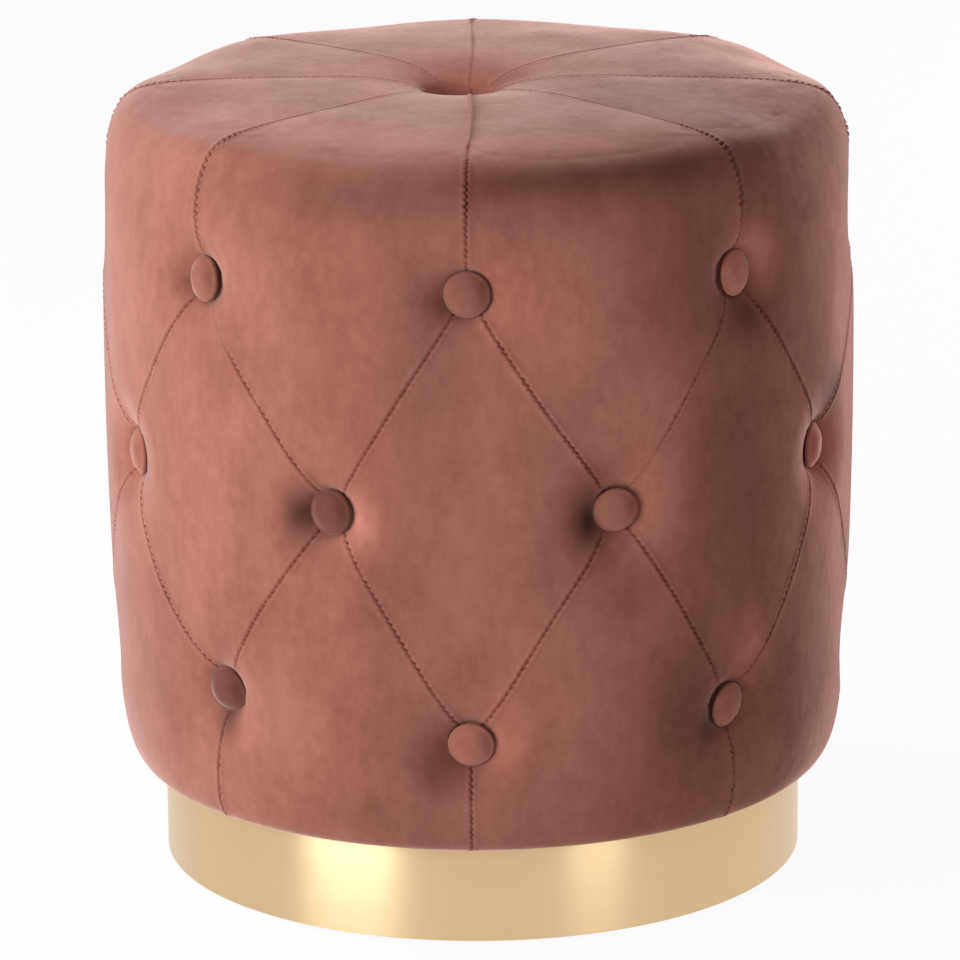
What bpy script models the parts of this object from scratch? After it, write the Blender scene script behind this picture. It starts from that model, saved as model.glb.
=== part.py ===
"""Round tufted pouf: sewn velvet panels and covered buttons over foam, on a hollow wooden drum
that stands on a metal-banded plinth. Metres, +Z up, origin on the floor under the centre."""
import math

import bmesh
import bpy
import numpy as np
from mathutils import Matrix, Vector

# Clearances between neighbouring pieces
FIT_GAP = 0.0003
SEAM_GAP = 0.0003
FOAM_GAP = 0.0006
HEM_CLEARANCE = 0.0008

# Velvet cover: the turned outline that the tufts are drawn into
COVER_RADIUS_TOP = 0.1864
COVER_RADIUS_MIDDLE = 0.1875
COVER_RADIUS_BOTTOM = 0.1849
RIM_HEIGHT = 0.3911
RIM_CURVE_RADIAL = 0.0300
RIM_CURVE_VERTICAL = 0.0290
CROWN_RISE = 0.0089
HEM_OVERHANG = 0.0087
HEM_HEIGHT = 0.0518
SKIRT_CURVE_HEIGHT = 0.0540
CLOTH_THICKNESS = 0.0012

# Sewing pattern: eight gores, eight diamonds and eight skirt panels
GORE_COUNT = 8
TOP_ROW_HEIGHT = 0.331
ROW_SPACING = 0.109
SHOULDER_SHARE = 0.64
SILL_SHARE = 0.44
SEAM_SINK = 0.0022
SEAM_SPREAD = 0.014
RIM_FLATTENING = 0.0025

# Covered buttons and the tufts that they pull in
BUTTON_RADIUS = 0.0114
BUTTON_BOSS_RADIUS = 0.005
BUTTON_EDGE_RISE = 0.0018
BUTTON_EDGE_THICKNESS = 0.0009
BUTTON_THICKNESS = 0.0048
TUFT_DEPTH = 0.0095
TUFT_SEAT_MARGIN = 0.0041
TUFT_SPREAD = 0.0075
CRATER_DEPTH = 0.030
CRATER_SEAT_MARGIN = 0.0014
CRATER_LIP_DEPTH = 0.009
CRATER_LIP_SPREAD = 0.026
CRATER_WALL_SPREAD = 0.006
CENTRE_HOLE_RADIUS = 0.005

# Hand-tied tufts sit a few millimetres off their even places: row, column, sideways, upward
TUFT_DRIFT = (
    ("top", 0, 0.000, 0.002),
    ("top", 1, -0.001, -0.001),
    ("top", 7, -0.001, -0.004),
    ("middle", 0, 0.001, 0.001),
    ("middle", 1, -0.003, 0.006),
    ("middle", 6, 0.003, 0.003),
    ("middle", 7, 0.003, 0.000),
    ("bottom", 0, 0.000, -0.005),
    ("bottom", 1, -0.003, -0.001),
    ("bottom", 7, 0.008, 0.008),
)
DRIFT_REACH = 0.080

# Wooden drum and plinth
FOAM_UNDER_TUFT = 0.0093
BOARD_THICKNESS = 0.012
FOAM_UNDER_CRATER = 0.0232
DRUM_WALL_THICKNESS = 0.004
PLINTH_WALL = 0.030
BAND_STEP = 0.0006
BAND_THICKNESS = 0.0008
GLIDE_COUNT = 4
GLIDE_RADIUS = 0.012
GLIDE_HEIGHT = 0.003
BAND_FLOOR_GAP = 0.0015

# Mesh density
SEAM_STEPS = (0.0, 0.11, 0.25, 0.75, 0.89, 1.0)
CARRIED_STEPS = (0.0, 0.25, 0.75, 1.0)
POINT_STEPS = (0.0, 0.45, 0.78, 0.91, 1.0)
RIM_STEPS = (0.28, 0.56)
HEM_STEPS = (0.0, 0.5, 0.8, 1.0)
FOAM_HEM_STEPS = (0.0, 0.5, 1.0)
TURNED_STEPS = 32
BAND_STEPS = 96
BUTTON_STEPS = 12
OUTLINE_SAMPLES = 40

# Places that follow from the sizes above
SEAM_ANGLE = 2.0 * math.pi / GORE_COUNT
TUFT_SEAT_RADIUS = BUTTON_RADIUS + TUFT_SEAT_MARGIN
CRATER_SEAT_RADIUS = BUTTON_RADIUS + CRATER_SEAT_MARGIN
DRUM_BOTTOM = HEM_HEIGHT + CLOTH_THICKNESS + FIT_GAP
CRATER_FLOOR = RIM_HEIGHT + CROWN_RISE - CRATER_DEPTH - CLOTH_THICKNESS - FOAM_GAP
DECK_HEIGHT = CRATER_FLOOR - FOAM_UNDER_CRATER
TUFT_FLOOR_RADIUS = min(COVER_RADIUS_TOP, COVER_RADIUS_MIDDLE, COVER_RADIUS_BOTTOM) - TUFT_DEPTH
DRUM_WALL_OUTSIDE = TUFT_FLOOR_RADIUS - CLOTH_THICKNESS - FOAM_GAP - FOAM_UNDER_TUFT
DRUM_WALL_INSIDE = DRUM_WALL_OUTSIDE - DRUM_WALL_THICKNESS
BOARD_RADIUS = DRUM_WALL_INSIDE - FIT_GAP
BAND_RADIUS = BOARD_RADIUS + BAND_STEP
HEM_RADIUS = BAND_RADIUS + HEM_OVERHANG
PLINTH_TOP = DRUM_BOTTOM - FIT_GAP
PLINTH_RADIUS = BAND_RADIUS - BAND_THICKNESS - FIT_GAP
GLIDE_CIRCLE = PLINTH_RADIUS - 0.5 * PLINTH_WALL
ROW_HEIGHTS = {
    "top": TOP_ROW_HEIGHT,
    "middle": TOP_ROW_HEIGHT - ROW_SPACING,
    "bottom": TOP_ROW_HEIGHT - 2.0 * ROW_SPACING,
}
ROW_TURN = {"top": 0.0, "middle": 0.5 * SEAM_ANGLE, "bottom": 0.0}


def turned_outline():
    """The cover's outline without tufts, from the axis over the rim and down to the turned-under hem."""
    flat_radius = COVER_RADIUS_TOP - RIM_CURVE_RADIAL
    rim_base = RIM_HEIGHT - RIM_CURVE_VERTICAL
    skirt_top = HEM_HEIGHT + SKIRT_CURVE_HEIGHT
    points = []
    for step in np.linspace(0.0, 1.0, OUTLINE_SAMPLES):
        rise = CROWN_RISE * (1.0 - step * step) ** 2
        points.append((flat_radius * step, RIM_HEIGHT + rise))
    for angle in np.linspace(0.0, 0.5 * math.pi, OUTLINE_SAMPLES)[1:]:
        radius = flat_radius + RIM_CURVE_RADIAL * math.sin(angle)
        points.append((radius, rim_base + RIM_CURVE_VERTICAL * math.cos(angle)))
    for step in np.linspace(0.0, 1.0, OUTLINE_SAMPLES)[1:]:
        straight = COVER_RADIUS_TOP + step * (COVER_RADIUS_BOTTOM - COVER_RADIUS_TOP)
        bulge = COVER_RADIUS_MIDDLE - 0.5 * (COVER_RADIUS_TOP + COVER_RADIUS_BOTTOM)
        radius = straight + 4.0 * step * (1.0 - step) * bulge
        points.append((radius, rim_base + step * (skirt_top - rim_base)))
    for angle in np.linspace(0.0, 0.5 * math.pi, OUTLINE_SAMPLES)[1:]:
        radius = HEM_RADIUS + (COVER_RADIUS_BOTTOM - HEM_RADIUS) * math.cos(angle)
        points.append((radius, skirt_top - SKIRT_CURVE_HEIGHT * math.sin(angle)))
    points.append((BAND_RADIUS + HEM_CLEARANCE, HEM_HEIGHT))
    return np.array(points)


OUTLINE = turned_outline()
OUTLINE_RUN = np.concatenate(([0.0], np.cumsum(np.hypot(*np.diff(OUTLINE, axis=0).T))))


def outline_at(run):
    """Radius and height at a distance run along the outline from the axis."""
    return np.interp(run, OUTLINE_RUN, OUTLINE[:, 0]), np.interp(run, OUTLINE_RUN, OUTLINE[:, 1])


def outline_normal(run):
    """Outward direction (radial, vertical) of the outline at a run."""
    probe = 0.001
    low = min(max(run - probe, 0.0), OUTLINE_RUN[-1] - 2.0 * probe)
    radius_a, height_a = outline_at(low)
    radius_b, height_b = outline_at(low + 2.0 * probe)
    length = math.hypot(radius_b - radius_a, height_b - height_a)
    return (height_a - height_b) / length, (radius_b - radius_a) / length


def run_at_height(height):
    """The run at which the cover's side passes a height."""
    side = OUTLINE[OUTLINE_SAMPLES:-1]
    return float(np.interp(-height, -side[:, 1], OUTLINE_RUN[OUTLINE_SAMPLES:-1]))


ROW_RUN = {row: run_at_height(height) for row, height in ROW_HEIGHTS.items()}
RIM_RUN = OUTLINE_RUN[OUTLINE_SAMPLES - 1]
HEM_RUN = OUTLINE_RUN[-2]
END_RUN = OUTLINE_RUN[-1]
SHOULDER_RUN = RIM_RUN + SHOULDER_SHARE * (ROW_RUN["top"] - RIM_RUN)
SILL_RUN = ROW_RUN["bottom"] + SILL_SHARE * (HEM_RUN - ROW_RUN["bottom"])


def tuft_places():
    """Each side button's row, column, turn about the axis and run, before its drift."""
    places = []
    for row, run in ROW_RUN.items():
        for column in range(GORE_COUNT):
            places.append((row, column, ROW_TURN[row] + column * SEAM_ANGLE, run))
    return places


TUFTS = tuft_places()
DRIFT = {(row, column): (sideways, upward) for row, column, sideways, upward in TUFT_DRIFT}


def wrapped(angle):
    """An angle brought to between minus half a turn and half a turn."""
    return (angle + math.pi) % (2.0 * math.pi) - math.pi


def drifted(turn, run):
    """A place on the cover, moved along with the tufts near it."""
    radius = outline_at(run)[0]
    new_turn, new_run = turn, run
    for row, column, tuft_turn, tuft_run in TUFTS:
        if (row, column) not in DRIFT:
            continue
        away = math.hypot(wrapped(turn - tuft_turn) * radius, run - tuft_run)
        if away < DRIFT_REACH:
            share = (1.0 - (away / DRIFT_REACH) ** 2) ** 2
            sideways, upward = DRIFT[(row, column)]
            new_turn += share * sideways / radius
            new_run -= share * upward
    return new_turn, new_run


def distance_to_line(point, start, end):
    """Distance in the plane from a point to the straight seam from start to end."""
    along = (end[0] - start[0], end[1] - start[1])
    reach = (point[0] - start[0]) * along[0] + (point[1] - start[1]) * along[1]
    share = min(max(reach / (along[0] ** 2 + along[1] ** 2), 0.0), 1.0)
    return math.hypot(point[0] - start[0] - share * along[0], point[1] - start[1] - share * along[1])


def seam_distance(turn, run):
    """Distance over the cloth to the nearest seam of the pattern."""
    folded = abs((turn + 0.5 * SEAM_ANGLE) % SEAM_ANGLE - 0.5 * SEAM_ANGLE)
    point = (folded * outline_at(run)[0], run)
    half_width = 0.5 * SEAM_ANGLE * COVER_RADIUS_MIDDLE
    corners = [
        (0.0, 0.0),
        (0.0, ROW_RUN["top"]),
        (half_width, ROW_RUN["middle"]),
        (0.0, ROW_RUN["bottom"]),
        (0.0, END_RUN),
    ]
    return min(distance_to_line(point, start, end) for start, end in zip(corners, corners[1:]))


def smooth_step(value, low, high):
    """0 below low, 1 above high, and an even ramp between."""
    share = min(max((value - low) / (high - low), 0.0), 1.0)
    return share * share * (3.0 - 2.0 * share)


def sink(turn, run):
    """How far the cloth lies inside the turned outline: crater, tufts, seams and flattened rim."""
    radius = outline_at(run)[0]
    from_seat = max(0.0, radius - CRATER_SEAT_RADIUS) if run < RIM_RUN else 1.0
    lip = CRATER_LIP_DEPTH * math.exp(-from_seat / CRATER_LIP_SPREAD)
    wall = (CRATER_DEPTH - CRATER_LIP_DEPTH) * math.exp(-from_seat / CRATER_WALL_SPREAD)
    tufts = 0.0
    for _, _, tuft_turn, tuft_run in TUFTS:
        away = math.hypot(wrapped(turn - tuft_turn) * radius, run - tuft_run)
        tufts += TUFT_DEPTH * math.exp(-max(0.0, away - TUFT_SEAT_RADIUS) / TUFT_SPREAD)
    tufts = min(tufts, TUFT_DEPTH)
    on_side = smooth_step(run, RIM_RUN, ROW_RUN["top"]) * (1.0 - smooth_step(run, SILL_RUN, HEM_RUN))
    seam = SEAM_SINK * math.exp(-seam_distance(turn, run) / SEAM_SPREAD) * on_side
    seam *= 1.0 - tufts / TUFT_DEPTH
    between_seams = 0.5 * (1.0 - math.cos(GORE_COUNT * turn))
    rim_share = smooth_step(run, 0.4 * RIM_RUN, RIM_RUN) * (1.0 - smooth_step(run, RIM_RUN, ROW_RUN["top"]))
    return lip + wall + tufts + seam + RIM_FLATTENING * between_seams * rim_share


def cover_point(turn, run):
    """The point of the velvet's outer face at a turn about the axis (0 faces -Y) and a run."""
    depth = sink(turn, run)
    moved_turn, moved_run = drifted(turn, run)
    radius, height = outline_at(moved_run)
    radial, vertical = outline_normal(moved_run)
    radius -= depth * radial
    height -= depth * vertical
    return Vector((radius * math.sin(moved_turn), -radius * math.cos(moved_turn), height))


def tuft_frame(turn, run):
    """Placement of a side button: its back on the tuft's floor, its axis square to the cover."""
    moved_turn, moved_run = drifted(turn, run)
    radial, vertical = outline_normal(moved_run)
    outward = Vector((radial * math.sin(moved_turn), -radial * math.cos(moved_turn), vertical))
    seat = cover_point(turn, run) + FIT_GAP * outward
    return Matrix.Translation(seat) @ outward.to_track_quat("Z", "Y").to_matrix().to_4x4()


# Each panel is a grid whose columns run from its left seam to its right seam. Over the rim and at the
# hem, where they would crowd, some columns close up into the ones that carry on.
def both_halves(steps):
    """Columns of a whole panel, from the steps along one of its diagonal seams."""
    half = [0.5 * step for step in steps]
    return half + [1.0 - column for column in reversed(half[:-1])]


FINE_COLUMNS = both_halves(SEAM_STEPS)
CARRIED_COLUMNS = both_halves(CARRIED_STEPS)


def carried_column(column):
    """The nearest column that carries on over the rim or down to the hem."""
    return min(CARRIED_COLUMNS, key=lambda carried: abs(carried - column))


def in_from_seams(column, width, gap):
    """A column drawn in by half a seam gap at each end of a row of this width."""
    edge = 0.5 * gap / width
    return edge + (1.0 - 2.0 * edge) * column


def point_row(column, side_run, tip_run):
    """The run of a panel's pointed edge, which reaches tip_run half way across."""
    return side_run + (tip_run - side_run) * (1.0 - abs(2.0 * column - 1.0))


DIAGONAL = math.hypot(0.5 * SEAM_ANGLE * COVER_RADIUS_MIDDLE, ROW_SPACING)
EDGE_INSET = 0.5 * SEAM_GAP * DIAGONAL / (0.5 * SEAM_ANGLE * COVER_RADIUS_MIDDLE)


def gore_rows():
    """Runs of the gore's level rows, from the centre hole to the shoulder."""
    crater = [CENTRE_HOLE_RADIUS]
    crater += [CRATER_SEAT_RADIUS + share * CRATER_WALL_SPREAD for share in (0.0, 0.6, 1.7, 4.0)]
    crown = [0.35 * RIM_RUN, 0.68 * RIM_RUN, RIM_RUN]
    rim = [RIM_RUN + share * (SHOULDER_RUN - RIM_RUN) for share in RIM_STEPS]
    return crater + crown + rim + [SHOULDER_RUN]


def gore_place(first_turn, gap):
    """The gore to the right of a top row seam: level rows, then rows that grow into its point."""
    level = gore_rows()
    count = len(level) + len(POINT_STEPS) - 1

    def place(column, row):
        if row < len(level):
            across = carried_column(column) if row < len(level) - 1 else column
            run = level[row]
        else:
            across = column
            share = POINT_STEPS[row - len(level) + 1]
            tip = point_row(column, ROW_RUN["top"], ROW_RUN["middle"]) - EDGE_INSET * gap / SEAM_GAP
            run = SHOULDER_RUN + share * (tip - SHOULDER_RUN)
        across = in_from_seams(across, SEAM_ANGLE * outline_at(run)[0], gap)
        return cover_point(first_turn + across * SEAM_ANGLE, run)

    return place, FINE_COLUMNS, count


def skirt_place(first_turn, gap, level):
    """The skirt panel to the right of a bottom row seam: its point, then these level rows to the hem."""
    fractions = [1.0 - step for step in reversed(POINT_STEPS)]
    count = len(fractions) + len(level) - 1

    def place(column, row):
        if row < len(fractions):
            across = column
            tip = point_row(column, ROW_RUN["bottom"], ROW_RUN["middle"]) + EDGE_INSET * gap / SEAM_GAP
            run = tip + fractions[row] * (SILL_RUN - tip)
        else:
            across = carried_column(column)
            run = level[row - len(fractions) + 1]
        across = in_from_seams(across, SEAM_ANGLE * outline_at(run)[0], gap)
        return cover_point(first_turn + across * SEAM_ANGLE, run)

    return place, FINE_COLUMNS, count


def diamond_place(centre_turn, gap):
    """The diamond below a top row button, between four diagonal seams."""
    inset = EDGE_INSET * gap / SEAM_GAP / ROW_SPACING

    def place(column, row):
        right = 0.5 * inset + (1.0 - inset) * column
        left = 0.5 * inset + (1.0 - inset) * SEAM_STEPS[row]
        turn = centre_turn + 0.5 * SEAM_ANGLE * (right - left)
        upper = ROW_RUN["middle"] - ROW_RUN["top"]
        lower = ROW_RUN["bottom"] - ROW_RUN["middle"]
        down = right + left
        run = ROW_RUN["top"] + upper * min(down, 1.0) + lower * max(down - 1.0, 0.0)
        return cover_point(turn, run)

    return place, list(SEAM_STEPS), len(SEAM_STEPS)


def panel_grid(place, columns, row_count):
    """A grid mesh laid on the cover by place(column, row), with the rows counted from the top."""
    grid = bmesh.new()
    bmesh.ops.create_grid(grid, x_segments=len(columns) - 1, y_segments=row_count - 1, size=0.5)
    for vertex in grid.verts:
        column = round((vertex.co.x + 0.5) * (len(columns) - 1))
        row = row_count - 1 - round((vertex.co.y + 0.5) * (row_count - 1))
        vertex.co = place(columns[column], row)
    bmesh.ops.remove_doubles(grid, verts=grid.verts, dist=1e-6)
    bmesh.ops.triangulate(grid, faces=grid.faces, quad_method="SHORT_EDGE")
    return grid


def hem_rows(steps):
    """Runs of the skirt's level rows, from the sill to the hem."""
    return [SILL_RUN + step * (HEM_RUN - SILL_RUN) for step in steps]


def panel_layout(gap, skirt_rows):
    """Name and grid of each of the cover's panels, with this gap at the seams and these rows in the skirt."""
    for number in range(GORE_COUNT):
        turn = number * SEAM_ANGLE
        yield "gore_%d" % (number + 1), panel_grid(*gore_place(turn, gap))
        yield "diamond_%d" % (number + 1), panel_grid(*diamond_place(turn, gap))
        yield "skirt_%d" % (number + 1), panel_grid(*skirt_place(turn, gap, skirt_rows))


def new_collection(name, parent):
    """A collection linked under another."""
    collection = bpy.data.collections.new(name)
    parent.children.link(collection)
    return collection


def new_material(name, colour, roughness, metallic):
    """A Principled material with one colour."""
    material = bpy.data.materials.new(name)
    material.use_nodes = True
    shader = material.node_tree.nodes["Principled BSDF"]
    shader.inputs["Base Color"].default_value = (*colour, 1.0)
    shader.inputs["Roughness"].default_value = roughness
    shader.inputs["Metallic"].default_value = metallic
    return material


def new_object(name, mesh, material, collection, smooth=True):
    """An object with its own material, in a collection."""
    piece = bpy.data.objects.new(name, mesh)
    if material is not None:
        if not mesh.materials:
            mesh.materials.append(None)
        piece.material_slots[0].link = "OBJECT"
        piece.material_slots[0].material = material
    if smooth:
        mesh.shade_smooth()
        mesh.set_sharp_from_angle(angle=math.radians(40.0))
    collection.objects.link(piece)
    return piece


def mesh_from(grid, name):
    """A mesh that holds a finished grid."""
    mesh = bpy.data.meshes.new(name)
    grid.to_mesh(mesh)
    grid.free()
    return mesh


def turned(name, profile, steps, material, collection, smooth=True):
    """A turned solid: a profile of (radius, height) points, run down the outer side, about Z."""
    mesh = bpy.data.meshes.new(name)
    edges = [(index, index + 1) for index in range(len(profile) - 1)]
    if profile[0][0] > 0.0:
        edges.append((len(profile) - 1, 0))
    mesh.from_pydata([(radius, 0.0, height) for radius, height in profile], edges, [])
    piece = new_object(name, mesh, material, collection, smooth=False)
    screw = piece.modifiers.new("Turn", "SCREW")
    screw.angle = 2.0 * math.pi
    screw.steps = steps
    screw.render_steps = steps
    screw.use_merge_vertices = True
    screw.merge_threshold = 0.00001
    screw.use_smooth_shade = smooth
    return piece


def ring_profile(outer, inner, top, bottom):
    """A square ring section, down its outer side first."""
    return [(outer, top), (outer, bottom), (inner, bottom), (inner, top)]


def disc_profile(radius, top, bottom):
    """Half of a flat disc's section, from the axis and down its outer side."""
    return [(0.0, top), (radius, top), (radius, bottom), (0.0, bottom)]


for old in list(bpy.data.objects):
    bpy.data.objects.remove(old, do_unlink=True)
root = bpy.context.scene.collection
pouf = new_collection("pouf", root)
cutters = new_collection("pouf_cutters", root)

# Velvet panels: cloth of one thickness, laid inward from the outer face
VELVET = (0.314, 0.112, 0.080)
for panel_name, grid in panel_layout(SEAM_GAP, hem_rows(HEM_STEPS) + [END_RUN]):
    velvet = new_material("velvet_" + panel_name, VELVET, 0.85, 0.0)
    panel = new_object("cover_" + panel_name, mesh_from(grid, panel_name), velvet, pouf)
    cloth = panel.modifiers.new("Cloth", "SOLIDIFY")
    cloth.thickness = CLOTH_THICKNESS
    cloth.offset = -1.0

# Foam: the same sewn surface, set in by the cloth and a gap, closed at the centre and on the turned-under hem
foam_body = bmesh.new()
for _, grid in panel_layout(0.0, hem_rows(FOAM_HEM_STEPS)):
    piece_mesh = mesh_from(grid, "foam_panel")
    foam_body.from_mesh(piece_mesh)
    bpy.data.meshes.remove(piece_mesh)
bmesh.ops.remove_doubles(foam_body, verts=foam_body.verts, dist=0.00002)
foam_body.normal_update()
inward = {vertex: vertex.normal.copy() for vertex in foam_body.verts}
for vertex in foam_body.verts:
    vertex.co -= (CLOTH_THICKNESS + FOAM_GAP) * inward[vertex]
    vertex.co.z = max(vertex.co.z, HEM_HEIGHT + CLOTH_THICKNESS + FOAM_GAP)
open_edges = [edge for edge in foam_body.edges if edge.is_boundary]
bmesh.ops.holes_fill(foam_body, edges=open_edges, sides=0)
bmesh.ops.triangulate(foam_body, faces=[face for face in foam_body.faces if len(face.verts) > 4])
foam_mesh = mesh_from(foam_body, "foam")

FOAM = (0.80, 0.72, 0.52)
above_deck = turned(
    "above_deck",
    disc_profile(COVER_RADIUS_MIDDLE + TUFT_DEPTH, RIM_HEIGHT + CROWN_RISE + TUFT_DEPTH, DECK_HEIGHT + FIT_GAP),
    TURNED_STEPS,
    None,
    cutters,
)
wrap_space = turned(
    "wrap_space",
    ring_profile(
        COVER_RADIUS_MIDDLE + TUFT_DEPTH, DRUM_WALL_OUTSIDE + FIT_GAP, DECK_HEIGHT, HEM_HEIGHT - TUFT_DEPTH
    ),
    TURNED_STEPS,
    None,
    cutters,
)
for cutter in (above_deck, wrap_space):
    cutter.hide_render = True
    cutter.display_type = "WIRE"
for foam_name, space in (("foam_pad", above_deck), ("foam_wrap", wrap_space)):
    foam = new_object(foam_name, foam_mesh.copy(), new_material(foam_name, FOAM, 0.9, 0.0), pouf)
    keep = foam.modifiers.new("Keep", "BOOLEAN")
    keep.operation = "INTERSECT"
    keep.solver = "EXACT"
    keep.object = space
bpy.data.meshes.remove(foam_mesh)

# Covered buttons: a round-edged domed disc with a small boss at the back, on every tuft
button_profile = [(0.0, BUTTON_THICKNESS)]
dome_base = BUTTON_EDGE_RISE + BUTTON_EDGE_THICKNESS
for share in (0.5, 0.85):
    rise = (BUTTON_THICKNESS - dome_base) * math.sqrt(1.0 - share * share)
    button_profile.append((BUTTON_RADIUS * share, dome_base + rise))
button_profile += [
    (BUTTON_RADIUS, dome_base),
    (BUTTON_RADIUS - BUTTON_EDGE_THICKNESS, BUTTON_EDGE_RISE),
    (BUTTON_BOSS_RADIUS, 0.0),
    (0.0, 0.0),
]
for row, column, turn, run in TUFTS:
    name = "button_%s_%d" % (row, column + 1)
    covered = new_material(name, (0.251, 0.084, 0.054), 0.85, 0.0)
    button = turned(name, button_profile, BUTTON_STEPS, covered, pouf)
    button.matrix_world = tuft_frame(turn, run)
crater_floor = cover_point(0.0, CENTRE_HOLE_RADIUS).z
covered = new_material("button_centre", (0.251, 0.084, 0.054), 0.85, 0.0)
button = turned("button_centre", button_profile, BUTTON_STEPS, covered, pouf)
button.location = (0.0, 0.0, crater_floor + FIT_GAP)

# Wooden drum: two boards inside a bent plywood wall
BOARD = (0.42, 0.29, 0.17)
deck = disc_profile(BOARD_RADIUS, DECK_HEIGHT, DECK_HEIGHT - BOARD_THICKNESS)
turned("top_board", deck, TURNED_STEPS, new_material("top_board", BOARD, 0.7, 0.0), pouf)
floor_board = disc_profile(BOARD_RADIUS, DRUM_BOTTOM + BOARD_THICKNESS, DRUM_BOTTOM)
turned("bottom_board", floor_board, TURNED_STEPS, new_material("bottom_board", BOARD, 0.7, 0.0), pouf)
wall = ring_profile(DRUM_WALL_OUTSIDE, DRUM_WALL_INSIDE, DECK_HEIGHT, DRUM_BOTTOM)
turned("drum_wall", wall, TURNED_STEPS, new_material("drum_wall", (0.50, 0.36, 0.22), 0.7, 0.0), pouf)

# Plinth: a wooden ring inside a brushed metal band, on plastic glides
ring = ring_profile(PLINTH_RADIUS, PLINTH_RADIUS - PLINTH_WALL, PLINTH_TOP, GLIDE_HEIGHT + FIT_GAP)
turned("plinth_ring", ring, TURNED_STEPS, new_material("plinth_ring", BOARD, 0.7, 0.0), pouf)
band = ring_profile(BAND_RADIUS, BAND_RADIUS - BAND_THICKNESS, PLINTH_TOP, BAND_FLOOR_GAP)
turned("base_band", band, BAND_STEPS, new_material("base_band", (0.69, 0.51, 0.31), 0.3, 1.0), pouf)
glide_profile = disc_profile(GLIDE_RADIUS, GLIDE_HEIGHT, 0.0)
for number in range(GLIDE_COUNT):
    turn = (number + 0.5) * 2.0 * math.pi / GLIDE_COUNT
    name = "glide_%d" % (number + 1)
    plastic = new_material(name, (0.02, 0.02, 0.02), 0.5, 0.0)
    glide = turned(name, glide_profile, BUTTON_STEPS, plastic, pouf)
    glide.location = (GLIDE_CIRCLE * math.sin(turn), -GLIDE_CIRCLE * math.cos(turn), 0.0)
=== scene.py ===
# %% [markdown]
# # A round tufted velvet pouf
# The pouf is a hollow wooden drum wrapped in foam, dressed in sewn velvet and pulled in by covered buttons.
# It stands on a plinth that wears a brushed brass-coloured band.
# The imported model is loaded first. It fixes where every piece is, and this script only makes it look right.

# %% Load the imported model
import math

import bpy
import numpy as np
from mathutils import Matrix, Vector


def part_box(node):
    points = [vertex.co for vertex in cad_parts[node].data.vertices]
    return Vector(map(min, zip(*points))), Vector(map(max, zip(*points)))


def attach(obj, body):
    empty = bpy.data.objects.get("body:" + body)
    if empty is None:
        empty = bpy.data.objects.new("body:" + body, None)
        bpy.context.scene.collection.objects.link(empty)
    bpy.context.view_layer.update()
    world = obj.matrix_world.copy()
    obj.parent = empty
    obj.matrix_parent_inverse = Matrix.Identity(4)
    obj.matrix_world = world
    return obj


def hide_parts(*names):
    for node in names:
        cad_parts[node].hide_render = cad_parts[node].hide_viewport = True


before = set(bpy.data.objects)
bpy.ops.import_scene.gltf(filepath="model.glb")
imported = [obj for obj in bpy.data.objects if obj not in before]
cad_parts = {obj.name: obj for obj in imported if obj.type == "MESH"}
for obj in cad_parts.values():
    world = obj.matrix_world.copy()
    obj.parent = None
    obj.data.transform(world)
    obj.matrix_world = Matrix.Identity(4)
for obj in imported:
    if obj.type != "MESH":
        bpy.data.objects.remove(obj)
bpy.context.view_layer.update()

MM = 0.001

# %% [markdown]
# ## The camera
# A product photographer stands well back with a long lens and looks slightly down, so that the round top
# shows as a flat ellipse. The distance and the lens come from how strongly the ellipses of the top and of the
# band differ in roundness. The camera is turned by a hair, because the pouf wasn't quite square to it.

# %% Camera
CAMERA_DISTANCE = 3.2671
CAMERA_HEIGHT = 1.1446
CAMERA_TURN = math.radians(1.698)
CAMERA_PITCH = math.radians(16.301)
CAMERA_ROLL = math.radians(0.5)
LENS_PIXELS = 6761.7
PICTURE_WIDTH = 960


def new_object(name, data):
    """An object in the scene."""
    thing = bpy.data.objects.new(name, data)
    bpy.context.scene.collection.objects.link(thing)
    return thing


def new_mesh(name, points, faces):
    """A mesh of points and faces."""
    mesh = bpy.data.meshes.new(name)
    mesh.from_pydata(points, [], faces)
    return mesh


camera = new_object("camera", bpy.data.cameras.new("camera"))
bpy.context.scene.camera = camera
camera.data.sensor_width = 36.0
camera.data.lens = LENS_PIXELS / PICTURE_WIDTH * camera.data.sensor_width
placed = Matrix.Rotation(CAMERA_TURN, 4, "Z") @ Matrix.Translation((0.0, -CAMERA_DISTANCE, CAMERA_HEIGHT))
tilted = Matrix.Rotation(math.pi / 2 - CAMERA_PITCH, 4, "X") @ Matrix.Rotation(-CAMERA_ROLL, 4, "Z")
camera.matrix_world = placed @ tilted
print("lens:", round(camera.data.lens, 1), "mm")

# %% [markdown]
# ## The cover's outline
# Without its tufts the cover is a turned shape: a nearly level top, a rounded rim, sides that belly a little,
# and a skirt that curves in to the hem. A place on it is given by a turn about the axis and a run, which is the
# distance over the cloth from the middle of the top. The sewing pattern is easy to draw in turn and run.

# %% Outline by run
TOP_PROFILE = [(0, 398.4), (60, 398.3), (110, 398.2), (135, 397.6), (150, 396.8), (160, 395.8), (167, 394.5)]
RIM_PROFILE = [(172.0, 392.5), (176.4, 389.8), (181.0, 383.0), (184.1, 375.6), (185.9, 368.0), (187.1, 358.0)]
RADIUS_TOP, RADIUS_MIDDLE, RADIUS_BOTTOM = 0.1877, 0.1891, 0.1858
SIDE_TOP, SIDE_START = 0.3649, 0.3560
HEM_RADIUS, HEM_HEIGHT, SKIRT_CURVE, HEM_TURN_IN = 0.1693, 0.0518, 0.0540, 0.1614
RIM_RUN = 0.160


def ramp(value, low, high):
    """0 below low, 1 above high, and an even ramp between."""
    share = np.clip((value - low) / (high - low), 0.0, 1.0)
    return share * share * (3 - 2 * share)


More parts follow.
